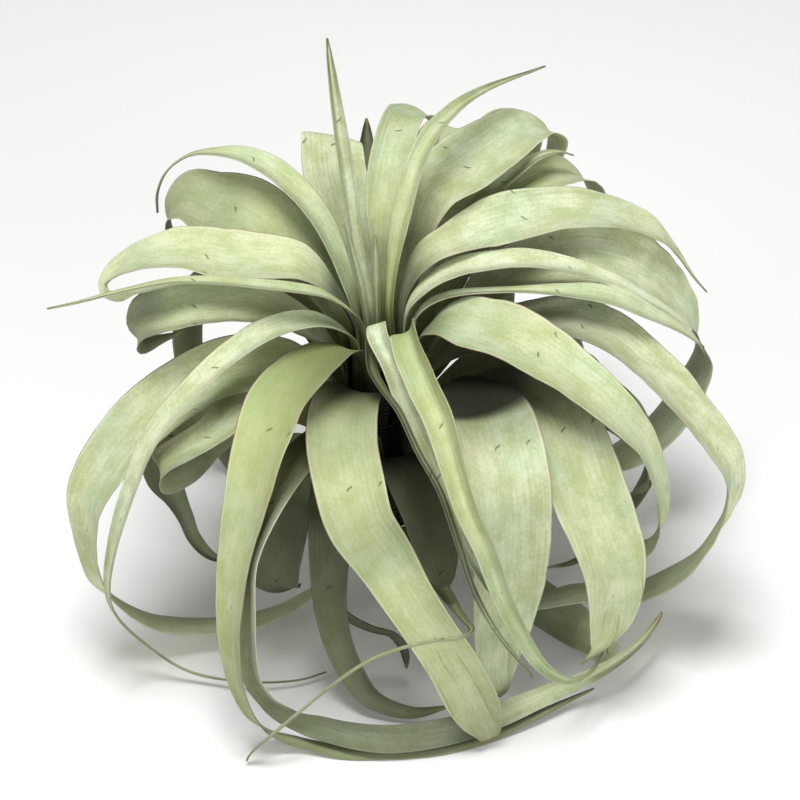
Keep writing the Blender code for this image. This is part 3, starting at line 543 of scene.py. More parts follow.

# %% [markdown]
# ## What sets one leaf apart from the next
# All leaves share one rule, but each has had its own life. Some are folded or cupped into a channel,
# some carry more silver, and three old ones have dried into creases at their ends. Part of that silver
# is painted light: it is raised on some leaves to brighten them where the lamps leave them dim. Three
# that the solids keep narrow, to clear their neighbours, get their full width back for a stretch.
# Leaves deep in the rosette get painted shade, because little light comes through to them: a row of
# shade says how dark the painted shade is at a share of a leaf's length. A stretch is two such shares,
# from 0 at the foot to 1 at the tip, so the stretch called nowhere lies past the tip. One leaf has a
# painted highlight on a stretch of its right margin, its lit rim, where no shade is painted. Anything
# that a leaf's line doesn't name is as in the usual leaf.

# %% What sets one leaf apart from the next
NOWHERE = (2.0, 3.0)
USUAL_LEAF = dict(
    silver=0.4, cup=0.13, fold=0.0, shade=((0.0, 0.0),), lit_rim=NOWHERE, widened=NOWHERE, extra=0.0,
    creased=NOWHERE,
)
# Rows of painted shade: each is a share of the leaf's length and how dark the shade painted there is.
DEEP_SHADE = ((0.0, 0.7),)
HALF_SHADE = ((0.0, 0.5),)
CREASES_END = 0.97
# Part of some leaves' silver is painted light, raised to brighten leaves that the lamps leave dim.
OWN_LIVES = {
    "front_channel": dict(silver=1.6, cup=0.21, fold=0.28),
    "right_spear": dict(fold=0.14),
    "front_thread": dict(silver=0.0, cup=0.23, shade=((0.0, 0.7), (0.75, 0.6), (0.85, 0.0))),
    "tall_spear": dict(silver=1.2, fold=0.12),
    "right_ribbon": dict(silver=1.3),
    "left_arch": dict(silver=0.6, widened=(0.8, 1.1), extra=0.7),
    "back_blade": dict(fold=0.05, shade=((0.36, 0.4), (0.5, 0.0))),
    "back_right_blade": dict(silver=0.95, shade=((0.26, 0.7), (0.36, 0.1), (0.42, 0.0))),
    "left_blade": dict(silver=0.65, shade=((0.3, 0.85), (0.37, 0.15), (0.42, 0.0))),
    "front_right_channel": dict(silver=0.3, cup=0.21, fold=0.26),
    "back_right_arch": dict(silver=0.7, shade=((0.36, 0.4), (0.5, 0.0))),
    "front_left_ribbon": dict(silver=1.2, fold=0.05),
    "right_rod": dict(silver=0.6, widened=(0.55, 0.86), extra=0.7),
    "back_left_blade": dict(silver=1.1, cup=-0.03),
    "left_back_blade": dict(silver=0.3, shade=((0.5, 0.0), (0.75, 0.3))),
    "front_left_blade": dict(silver=0.2, shade=((0.2, 0.5), (0.3, 0.0), (0.4, 0.05), (0.6, 0.25))),
    "right_blade": dict(silver=0.6, shade=((0.24, 0.6), (0.36, 0.05), (0.45, 0.0))),
    "left_under_blade": dict(silver=0.9, shade=((0.74, 0.0), (0.82, 0.5))),
    "right_far_blade": dict(
        silver=1.15, shade=((0.26, 0.62), (0.42, 0.12), (0.6, 0.0)), widened=(0.1, 0.33), extra=0.36),
    "front_blade": dict(
        silver=0.2, creased=(0.72, CREASES_END),
        shade=((0.26, 0.9), (0.4, 0.2), (0.47, 0.0), (0.57, 0.25), (0.66, 0.0), (0.85, 0.1), (1.0, 0.45))),
    "right_back_blade": dict(silver=1.1, shade=((0.3, 0.3), (0.5, 0.0))),
    "left_front_blade": dict(silver=0.7),
    "front_right_blade": dict(
        silver=0.75, creased=(0.8, CREASES_END), shade=((0.41, 0.985), (0.43, 0.4), (0.5, 0.0))),
    "left_short_blade": dict(silver=0.6, shade=((0.6, 0.0), (0.75, 0.4))),
    "right_front_blade": dict(
        silver=0.5, creased=(0.74, CREASES_END), shade=((0.36, 0.85), (0.42, 0.5), (0.55, 0.1), (0.6, 0.0))),
    "back_left_low": dict(shade=HALF_SHADE),
    "back_right_low": dict(shade=HALF_SHADE),
    "front_ring": dict(
        silver=0.6, lit_rim=(0.26, 0.58),
        shade=((0.36, 0.55), (0.45, 0.3), (0.6, 0.6), (0.76, 0.6), (0.84, 0.0))),
    "back_middle_low": dict(shade=HALF_SHADE),
    "inner_right_front": dict(shade=((0.45, 0.96), (0.6, 0.85), (1.0, 0.7))),
    "inner_front": dict(shade=((0.3, 0.6), (0.5, 0.75), (0.85, 0.65), (1.0, 0.4))),
    "low_left": dict(shade=((0.45, 0.1), (0.6, 0.78))),
    "low_right": dict(shade=HALF_SHADE),
    "low_left_back": dict(shade=((0.5, 0.0), (0.7, 0.6))),
    "low_right_back": dict(shade=DEEP_SHADE),
    "inner_curl": dict(shade=DEEP_SHADE),
    "low_right_front": dict(shade=((0.72, 0.6), (0.8, 0.1))),
    "front_strip": dict(fold=0.1),
}
LIVES = {name: {**USUAL_LEAF, **OWN_LIVES.get(name, {})} for name in LEAVES}
print("leaves with a life of their own:", len(OWN_LIVES))

# %% [markdown]
# ## The route as Geometry Nodes read it
# Geometry Nodes can't see Python's lists, so each route becomes a line of vertices that carry named
# attributes: the way across, the way the blade faces, its width and thickness, how strongly it clasps
# the stem, cups or folds there, and what the skin has to know, which is how far along the leaf it is,
# how dark the shade painted on it is, and where a highlight is painted on its rim or its end creased.
# The line is the only thing that goes into the tree.

# %% A route as a line with attributes
FLAT_BELOW = 6.0
TIGHTEST_CLASP = 0.55
MIDDLE_THICKNESS = 0.9
TIP_THICKNESS = 0.65
BASE_SHARE = 0.3
RIM_FADE = 0.06
WIDENING_FADE = 0.08
CREASE_FADE = 0.05


def blade_thickness(share):
    if share < BASE_SHARE:
        return BASE_THICKNESS + (MIDDLE_THICKNESS - BASE_THICKNESS) * share / BASE_SHARE
    return MIDDLE_THICKNESS + (TIP_THICKNESS - MIDDLE_THICKNESS) * (share - BASE_SHARE) / (1 - BASE_SHARE)


def within(share, stretch, fade):
    """1 along a stretch of the leaf, easing off to 0 at both its ends."""
    start, end = stretch
    return eased((share - start) / fade) * eased((end - share) / fade)


def shade_here(rows, share):
    """How dark the painted shade of the leaves above it is on a leaf at this share of its length."""
    if share >= rows[-1][0]:
        return rows[-1][1]
    for (start, depth), (end, next_depth) in zip(rows, rows[1:]):
        if share < end:
            return depth + (next_depth - depth) * eased((share - start) / (end - start))


def add_values(mesh, name, values):
    is_vector = isinstance(values[0], Vector)
    attribute = mesh.attributes.new(name, "FLOAT_VECTOR" if is_vector else "FLOAT", "POINT")
    for item, value in zip(attribute.data, values):
        setattr(item, "vector" if is_vector else "value", value)


def station_facts(station, width, length, life):
    """What the tree has to know at one station, in metres."""
    spot, _, across, facing, distance = station
    share = distance / length
    free = blade_share(spot)
    outward = Vector((spot.x, spot.y, 0)).normalized()
    above_floor = eased(spot.z / FLAT_BELOW)
    return {
        "spot": (spot + AXIS) * MM,
        "across": across,
        "facing": facing,
        "blade_width": width * MM,
        "clasp": (1 - free) * max(0.0, -facing.dot(outward)),
        "clasp_radius": max(math.hypot(spot.x, spot.y), TIGHTEST_CLASP * width) * MM,
        "cup": free * above_floor * life["cup"],
        "fold": free * above_floor * life["fold"],
        "thickness": blade_thickness(share) * MM,
        "share": share,
        "along": distance * MM,
        "shade": shade_here(life["shade"], share),
        "rim": within(share, life["lit_rim"], RIM_FADE),
        "crease": within(share, life["creased"], CREASE_FADE),
    }


def route_object(name, order):
    """A line of vertices along the leaf's route, with the facts as its attributes."""
    life = LIVES[name]
    stations = leaf_stations(order, LEAVES[name])
    length = stations[-1][4]
    widths = smoothed([
        station[1] * (1 + life["extra"] * within(station[4] / length, life["widened"], WIDENING_FADE))
        for station in stations
    ])
    facts = [station_facts(station, width, length, life) for station, width in zip(stations, widths)]
    mesh = bpy.data.meshes.new(name + " route")
    mesh.from_pydata([fact["spot"] for fact in facts], [(i, i + 1) for i in range(len(facts) - 1)], [])
    for key in facts[0]:
        add_values(mesh, key, [fact[key] for fact in facts])
    return add_to_scene(name + " route", mesh)


# %% [markdown]
# ## Sums as nodes
# A tree built in Python is mostly sums, and a sum reads best as a sum. A Wire holds an output socket.
# Adding, subtracting, multiplying or dividing wires adds the Math or Vector Math node that does it and
# gives its output, again as a wire. The nodes are laid out in columns, so that the tree can be read in
# the editor too.

# %% Sums as nodes
NODE_ROWS = 6
NODE_WIDTH = 220
NODE_HEIGHT = 200
NOISE_MIDDLE = 0.5


class Wire:
    """An output socket that sums can be written with."""

    def __init__(self, socket):
        self.socket = socket

    def __add__(self, other):
        return sum_node("ADD", self, other)

    def __sub__(self, other):
        return sum_node("SUBTRACT", self, other)

    def __rsub__(self, other):
        return sum_node("SUBTRACT", other, self)

    def __mul__(self, other):
        return sum_node("MULTIPLY", self, other)

    def __truediv__(self, other):
        return sum_node("DIVIDE", self, other)

    def __rtruediv__(self, other):
        return sum_node("DIVIDE", other, self)


def add_node(tree, kind, **settings):
    node = tree.nodes.new(kind)
    number = len(tree.nodes)
    node.location = (NODE_WIDTH * (number // NODE_ROWS), -NODE_HEIGHT * (number % NODE_ROWS))
    for name, value in settings.items():
        setattr(node, name, value)
    return node


def put(socket, value):
    """Wires a socket, or gives it a plain value."""
    if isinstance(value, Wire):
        socket.id_data.links.new(value.socket, socket)
    else:
        socket.default_value = value


def fill(node, **values):
    """Puts values in a node's named inputs. An underscore stands for a space."""
    for name, value in values.items():
        put(node.inputs[name.replace("_", " ")], value)


def outputs(node):
    return {socket.name: Wire(socket) for socket in node.outputs if socket.enabled}


def from_values(kind, *values, **settings):
    """The output of a node with its first inputs filled in order. It goes into the first wire's tree."""
    tree = next(value.socket.id_data for value in values if isinstance(value, Wire))
    node = add_node(tree, kind, **settings)
    for socket, value in zip(node.inputs, values):
        put(socket, value)
    return Wire(node.outputs[0])


def has_three_parts(value):
    return isinstance(value, tuple) or isinstance(value, Wire) and value.socket.type in ("VECTOR", "RGBA")


def sum_node(operation, first, second):
    """Vector Math for two vectors, a scaling for a vector times a number, Math for two numbers."""
    parts = has_three_parts(first) + has_three_parts(second)
    if parts == 1 and operation == "MULTIPLY":
        node = add_node(first.socket.id_data, "ShaderNodeVectorMath", operation="SCALE")
        fill(node, Vector=first, Scale=second)
        return Wire(node.outputs[0])
    return (vector_calc if parts else calc)(operation, first, second)


def calc(operation, *values):
    return from_values("ShaderNodeMath", *values, operation=operation)


def vector_calc(operation, *values):
    return from_values("ShaderNodeVectorMath", *values, operation=operation)


def joined(x, y, z):
    return from_values("ShaderNodeCombineXYZ", x, y, z)


def parts_of(vector):
    node = add_node(vector.socket.id_data, "ShaderNodeSeparateXYZ")
    fill(node, Vector=vector)
    return outputs(node)


def eased_range(value, low, high, to_low=0.0, to_high=1.0):
    """Low becomes to_low and high becomes to_high, with an ease between them."""
    numbers = (value, low, high, to_low, to_high)
    return from_values("ShaderNodeMapRange", *numbers, interpolation_type="SMOOTHSTEP")


def noise(coordinates, scale, detail=2.0, roughness=0.5):
    node = add_node(coordinates.socket.id_data, "ShaderNodeTexNoise")
    fill(node, Vector=coordinates, Scale=scale, Detail=detail, Roughness=roughness)
    return outputs(node)["Fac"]


# %% [markdown]
# ## The blade tree
# Curve to Mesh sweeps a circle along the route, which gives a closed tube with the right number of
# points. Each point knows its place round the circle and carries the route's attributes, so the tree
# can move it to its place on a real blade's section: flat and lens-shaped, thin at the margins, cupped
# or folded, with its margins rising and falling a little along the leaf. A clasping base bends round
# the stem instead. What would sink into the floor is laid flat on it. The tree also stores what the skin
# reads: how near a margin a point is, whether it is on the upper face, how old the leaf is, how much
# silver it carries, and a map of the blade in metres.

# %% The blade tree
THIN_EDGE_POWER = 0.6
WAVE_LENGTH = 22 * MM
QUICK_WAVE_LENGTH = 7 * MM
QUICK_WAVE_SHARE = 0.35
MARGINS_APART = 3.7
FAR_BELOW = -1.0
TREE_INPUTS = {
    "Route": "Geometry", "Points round": "Int", "Wave depth": "Float", "Seed": "Float", "Silver": "Float",
    "Skin": "Material",
}


def named_value(tree, name, kind="FLOAT"):
    node = add_node(tree, "GeometryNodeInputNamedAttribute", data_type=kind)
    fill(node, Name=name)
    return outputs(node)["Attribute"]


def step(tree, kind, geometry, given="Geometry", result="Geometry", settings=None, **values):
    """Passes the geometry through one node and gives what comes out."""
    node = add_node(tree, kind, **(settings or {}))
    fill(node, **{given: geometry}, **values)
    return outputs(node)[result]


def stored(tree, geometry, name, value, kind="FLOAT", domain="POINT"):
    settings = {"data_type": kind, "domain": domain}
    return step(tree, "GeometryNodeStoreNamedAttribute", geometry, settings=settings, Name=name, Value=value)


def swept_tube(tree, route, points_round):
    """A closed tube along the route, whose points know how far round they are."""
    line = step(tree, "GeometryNodeMeshToCurve", route, given="Mesh", result="Curve")
    ring = add_node(tree, "GeometryNodeCurvePrimitiveCircle")
    fill(ring, Resolution=points_round, Radius=MM)
    index = Wire(add_node(tree, "GeometryNodeInputIndex").outputs[0])
    profile = stored(tree, outputs(ring)["Curve"], "turn", index / points_round * math.tau)
    return step(tree, "GeometryNodeCurveToMesh", line, given="Curve", result="Mesh",
                Profile_Curve=profile, Fill_Caps=True)


def section_rise(tree, offset, edge, width):
    """How far the blade stands up at an offset, and how steeply, by clasping, cupping and folding.

    The edge is the offset counted in half widths, so the slope of a cup is 4 times its depth at the
    margin and that of a fold is 2 times.
    """
    clasp, radius, cup, fold = (named_value(tree, name) for name in ("clasp", "clasp_radius", "cup", "fold"))
    depth = calc("SQRT", radius * radius - offset * offset)
    rise = clasp * (radius - depth) + cup * width * (edge * edge) + fold * width * calc("ABSOLUTE", edge)
    slope = clasp * (offset / depth) + cup * 4.0 * edge + fold * 2.0 * calc("SIGN", edge)
    return rise, slope


def margin_wave(edge, along, width, depth, seed):
    """A slow rise and fall of the two margins, each with its own, and a shallower quick one."""
    side = calc("SIGN", edge) * MARGINS_APART
    slow = noise(joined(along / WAVE_LENGTH, side, seed), 1.0, detail=1.0)
    quick = noise(joined(along / QUICK_WAVE_LENGTH, side, seed), 1.0, detail=0.0)
    rise = slow - NOISE_MIDDLE + (quick - NOISE_MIDDLE) * QUICK_WAVE_SHARE
    return rise * (edge * edge * (width * depth))


def blade_tree():
    tree = bpy.data.node_groups.new("leaf blade", "GeometryNodeTree")
    tree.is_modifier = True
    for label, kind in TREE_INPUTS.items():
        tree.interface.new_socket(label, in_out="INPUT", socket_type="NodeSocket" + kind)
    tree.interface.new_socket("Blade", in_out="OUTPUT", socket_type="NodeSocketGeometry")
    given = outputs(add_node(tree, "NodeGroupInput"))
    blade = swept_tube(tree, given["Route"], given["Points round"])

    turn, width, along = (named_value(tree, name) for name in ("turn", "blade_width", "along"))
    spot, across, facing = (
        named_value(tree, name, "FLOAT_VECTOR") for name in ("spot", "across", "facing"))
    edge = calc("COSINE", turn)
    side = calc("SINE", turn)
    offset = edge * width * 0.5
    rise, slope = section_rise(tree, offset, edge, width)
    wave = margin_wave(edge, along, width, given["Wave depth"], given["Seed"])
    middle = spot + (across * offset + facing * (rise + wave))
    face = vector_calc("NORMALIZE", facing - across * slope)
    plump = calc("SIGN", side) * calc("POWER", calc("ABSOLUTE", side), THIN_EDGE_POWER)
    half = named_value(tree, "thickness") * 0.5 * plump
    skin_spot = vector_calc("MAXIMUM", middle + face * half, (FAR_BELOW, FAR_BELOW, 0.0))

    blade = step(tree, "GeometryNodeSetPosition", blade, Position=skin_spot)
    blade = stored(tree, blade, "margin", calc("ABSOLUTE", edge))
    blade = stored(tree, blade, "upper", side)
    blade = stored(tree, blade, "age", given["Seed"] / float(len(LEAVES)))
    blade = stored(tree, blade, "silver", given["Silver"])
    blade = stored(tree, blade, "UVMap", joined(offset, along, given["Seed"]), "FLOAT2", "CORNER")
    blade = step(tree, "GeometryNodeSetShadeSmooth", blade)
    blade = step(tree, "GeometryNodeRealizeInstances", blade)
    blade = step(tree, "GeometryNodeSetMaterial", blade, Material=given["Skin"])
    fill(add_node(tree, "NodeGroupOutput"), Blade=blade)
    return tree


leaf_blade = blade_tree()
print("nodes in the blade tree:", len(leaf_blade.nodes))

# %% [markdown]
# ## The skin of a leaf
# The leaves are covered in tiny silver scales that make them matt and velvety. They lie in patches drawn
# out along the leaf, and the leaf's fibres show between them as faint lines. Here and there is a small
# dark scar, and where a leaf has dried it puckers into long creases. Each effect is a shader node group,
# and the skin puts them together. The patterns read the blade's own map, in metres, so that they keep
# their size on every leaf.

# %% Shader groups for the skin
PATCH_SIZE = 11 * MM
PATCH_STRETCH = (1.0, 0.28, 1.0)
STREAKS_IN_A_PATCH = 1.6
SPECKS_IN_A_PATCH = 9.0
GRAINS_IN_A_PATCH = 40.0
TINTS_IN_A_PATCH = 0.4
TINT_ELSEWHERE = (3.0, 1.0, 2.0)
STREAK_PART = 0.4
WIDE_PART = 0.35
SPECK_PART = 0.25
COVER_FROM_TO = (0.38, 0.62)
TINT_FROM_TO = (0.35, 0.65)
GRAIN_HEIGHT = 0.4
FIBRE_SPACING = 1.1 * MM
FIBRE_STRETCH = 40.0
FIBRE_FROM_TO = (0.3, 0.7)
SCAR_CELL = 12 * MM
SCAR_LENGTH = 1.8 * MM
SHORTEST_SCAR = 0.3
SCAR_SLIMNESS = 0.28
SCAR_EDGE = (1.0, 0.4)
CELLS_WITHOUT_SCAR = 0.955
SCAR_RAGGEDNESS = 1.1 * MM
RAGGED_SCALE = 900.0
CREASE_SPACING = 7 * MM
CREASE_WIDTH = 0.35 * MM
CREASE_BEND = 5 * MM
BEND_SCALE = (30.0, 45.0, 1.0)
BREAK_SCALE = (90.0, 60.0, 1.0)
BREAK_EDGE = (0.42, 0.6)


def shader_group(name, result_names, **inputs):
    """An empty group. An input with a number is a float, and one without is a vector."""
    group = bpy.data.node_groups.new(name, "ShaderNodeTree")
    for label, value in inputs.items():
        kind = "NodeSocketVector" if value is None else "NodeSocketFloat"
        socket = group.interface.new_socket(label.replace("_", " "), in_out="INPUT", socket_type=kind)
        if value is not None:
            socket.default_value = value
    for label in result_names:
        group.interface.new_socket(label, in_out="OUTPUT", socket_type="NodeSocketFloat")
    return group, outputs(add_node(group, "NodeGroupInput")), add_node(group, "NodeGroupOutput")


def silver_scales_group():
    """Patches where the silver scales lie thicker, drawn out along the leaf, with specks on them."""
    group, given, result = shader_group(
        "silver scales", ("Cover", "Tint", "Height"), Map=None, Place=None, Patch_size=PATCH_SIZE)
    patch = 1.0 / given["Patch size"]
    streak = noise(given["Map"] * PATCH_STRETCH, patch * STREAKS_IN_A_PATCH, detail=4.0, roughness=0.62)
    wide = noise(given["Place"], patch, detail=3.0, roughness=0.6)
    speck = noise(given["Place"], patch * SPECKS_IN_A_PATCH, detail=3.0, roughness=0.65)
    grain = noise(given["Place"], patch * GRAINS_IN_A_PATCH, detail=1.0)
    tint = noise(given["Place"] + TINT_ELSEWHERE, patch * TINTS_IN_A_PATCH, detail=1.0)
    mixed = streak * STREAK_PART + wide * WIDE_PART + speck * SPECK_PART
    fill(result, Cover=eased_range(mixed, *COVER_FROM_TO), Tint=eased_range(tint, *TINT_FROM_TO),
         Height=grain * GRAIN_HEIGHT + speck)
    return group


def long_fibres_group():
    """Faint lines along the blade, where its fibres show through the skin."""
    group, given, result = shader_group("long fibres", ("Line",), Map=None, Spacing=FIBRE_SPACING)
    parts = parts_of(given["Map"])
    along = parts["Y"] / (given["Spacing"] * FIBRE_STRETCH)
    streak = noise(joined(parts["X"] / given["Spacing"], along, 0.0), 1.0, detail=2.0, roughness=0.6)
    fill(result, Line=eased_range(streak, *FIBRE_FROM_TO))
    return group


def small_scars_group():
    """Short dark dashes, each turned its own way, in a few cells of a pattern of cells."""
    group, given, result = shader_group(
        "small scars", ("Scar",), Map=None, Cell=SCAR_CELL, Length=SCAR_LENGTH,
        Share_without=CELLS_WITHOUT_SCAR)
    wobble = add_node(group, "ShaderNodeTexNoise")
    fill(wobble, Vector=given["Map"], Scale=RAGGED_SCALE)
    shaken = given["Map"] + (outputs(wobble)["Color"] - (NOISE_MIDDLE,) * 3) * SCAR_RAGGEDNESS
    voronoi = add_node(group, "ShaderNodeTexVoronoi", voronoi_dimensions="2D")
    fill(voronoi, Vector=shaken, Scale=1.0 / given["Cell"])
    cell = outputs(voronoi)
    draw = add_node(group, "ShaderNodeSeparateColor")
    fill(draw, Color=cell["Color"])
    chance, bearing, size = outputs(draw).values()
    turned = add_node(group, "ShaderNodeVectorRotate", rotation_type="Z_AXIS")
    fill(turned, Vector=shaken - cell["Position"], Angle=bearing * math.tau)
    length = given["Length"] * (size + SHORTEST_SCAR)
    parts = parts_of(Wire(turned.outputs[0]))
    lengthwise = parts["X"] / length
    crosswise = parts["Y"] / (length * SCAR_SLIMNESS)
    squared = lengthwise * lengthwise + crosswise * crosswise
    chosen = calc("GREATER_THAN", chance, given["Share without"])
    fill(result, Scar=eased_range(squared, *SCAR_EDGE) * chosen)
    return group


def dry_creases_group():
    """Thin wandering lines along a blade that has dried and puckered."""
    group, given, result = shader_group(
        "dry creases", ("Crease",), Map=None, Spacing=CREASE_SPACING, Line_width=CREASE_WIDTH)
    bend = noise(given["Map"] * BEND_SCALE, 1.0, detail=3.0)
    sideways = parts_of(given["Map"])["X"] + bend * CREASE_BEND
    away = calc("PINGPONG", sideways, given["Spacing"] * 0.5)
    unbroken = eased_range(noise(given["Map"] * BREAK_SCALE, 1.0, detail=1.0), *BREAK_EDGE)
    fill(result, Crease=eased_range(away, given["Line width"], 0.0) * unbroken)
    return group


silver_scales = silver_scales_group()
long_fibres = long_fibres_group()
small_scars = small_scars_group()
dry_creases = dry_creases_group()
print("shader groups:", silver_scales.name, long_fibres.name, small_scars.name, dry_creases.name)

# %% [markdown]
# ## The leaf material
# A stretch below is a part of the leaf's length, from 0 at its foot to 1 at its tip, and a margin is
# counted from 0 in the middle of the blade to 1 at its edge.
# The colours are mixed in the order that they lie on the leaf: the green of the leaf itself, yellower at
# its base, greyer at its tip, and darker and more olive on the older, lower leaves, partly with age and
# partly as painted shade, then the silver scales, which are thin near the base. The under face is
# darker and more olive, which is painted shade. Thin pale margins, a painted highlight, carry a reddish
# line, strongest near the base. Then come the scars, the creases, darkened as painted shade, a painted
# highlight on the lit rim, the painted shade of the leaves above and beside the stem, and the dry tip. A
# weak sheen makes the edges of a curved blade glow as velvet does, and a soft bump lets the middle of a
# blade lie lower than its margins.

# %% The leaf material
LEAF_GREEN = (0.34, 0.40, 0.15)
BASE_YELLOW_GREEN = (0.40, 0.46, 0.13)
TIP_GREY_GREEN = (0.36, 0.42, 0.20)
# The painted shade of the under face.
UNDER_FACE_SHADE_OLIVE = (0.22, 0.24, 0.125)
OLD_AND_SHADED_OLIVE = (0.29, 0.33, 0.15)
SILVER = (0.72, 0.755, 0.58)
COOL_TINT = (0.93, 0.985, 0.95)
WARM_TINT = (1.0, 0.98, 0.90)
MARGIN_RED = (0.30, 0.17, 0.10)
# The painted highlight of the margins.
MARGIN_HIGHLIGHT_PALE = (0.72, 0.74, 0.56)
SCAR_DARK = (0.07, 0.10, 0.035)
CREASE_SHADE_DARK = (0.12, 0.13, 0.06)
DRY_TIP = (0.44, 0.38, 0.24)
# The near black of the painted shade.
PAINTED_SHADE_DARK = (0.012, 0.013, 0.008)
SHEEN_TINT = (0.86, 0.92, 0.80, 1)
SHINE = 0.12
SHEEN = 0.06
SHEEN_ROUGHNESS = 0.5
LEAF_ROUGHNESS = (0.62, 0.85)
BASE_STRETCH = (0.1, 0.4)
TIP_STRETCH = (0.5, 0.95)
DRY_STRETCH = (0.97, 1.0)
OLD_LEAVES = (0.3, 1.0)
OLD_AND_SHADE_STRENGTH = 0.5
COVER_BY_SILVER = 0.6
COVER_WITHOUT_SILVER = 0.55
COVER_BY_PATCH = 0.55
COVER_OFF_PATCHES = 0.3
BARE_BASE_COVER = 0.15
COVER_STARTS = 0.06
COVER_FULL = 0.55
FULL_EARLIER_BY_SILVER = 0.3
FIBRE_STRENGTH = 0.25
UNDER_FACE = (0.15, -0.15)
UNDER_STRETCH = (0.5, 0.85)
UNDER_SHADE_STRENGTH = (0.75, 0.4)
PALE_MARGIN = (0.92, 0.965)
MARGIN_HIGHLIGHT_STRENGTH = 0.45
RED_MARGIN = (0.958, 0.985)
RED_STRETCH = (0.85, 0.2)
RED_STRENGTH = (0.35, 0.9)
RED_PATCH_SCALE = (60.0, 30.0, 1.0)
RED_PATCH_EDGE = (0.3, 0.5)
SCAR_STRENGTH = 0.7
CREASE_SHADE_STRENGTH = 0.4
CREASE_RELIEF = 3.0
SCALES_PART_OF_RELIEF = 0.6
RELIEF_STRENGTH = 0.5
LIT_RIM_EDGE = (0.3, 0.55)
LIT_RIM_STRENGTH = 0.8
# Where shade is painted beside the stem, and how strongly.
HUB_SHADE_STRENGTH = 0.85
HUB_REACH = (23.4 * MM, 13 * MM)
HUB_HEIGHT = (138 * MM, 122 * MM)
CHANNEL_DEPTH = 2.0 * MM
SCALE_RELIEF = 0.2 * MM


def attribute(tree, name):
    node = add_node(tree, "ShaderNodeAttribute", attribute_name=name)
    return outputs(node)["Fac"]


FIRST_COLOUR, SECOND_COLOUR, MIXED_COLOUR = 6, 7, 2


def blended(factor, first, second, mode="MIX"):
    """One colour over another. A Mix node has other sockets for numbers, so its colours are numbered."""
    tree = next(value.socket.id_data for value in (factor, first) if isinstance(value, Wire))
    node = add_node(tree, "ShaderNodeMix", data_type="RGBA", blend_type=mode)
    put(node.inputs[0], factor)
    for number, colour in ((FIRST_COLOUR, first), (SECOND_COLOUR, second)):
        put(node.inputs[number], colour if isinstance(colour, Wire) else (*colour, 1))
    return Wire(node.outputs[MIXED_COLOUR])


def placed_group(tree, group, **values):
    node = add_node(tree, "ShaderNodeGroup", node_tree=group)
    fill(node, **values)
    return outputs(node)


def hub_painted_shade(place_on_plant):
    """How much shade is painted low down beside the stem, where no light comes: 1 there and 0 away from it.
    """
    parts = parts_of(place_on_plant - tuple(AXIS * MM))
    reach = calc("SQRT", parts["X"] * parts["X"] + parts["Y"] * parts["Y"])
    return eased_range(reach, *HUB_REACH) * eased_range(parts["Z"], *HUB_HEIGHT)


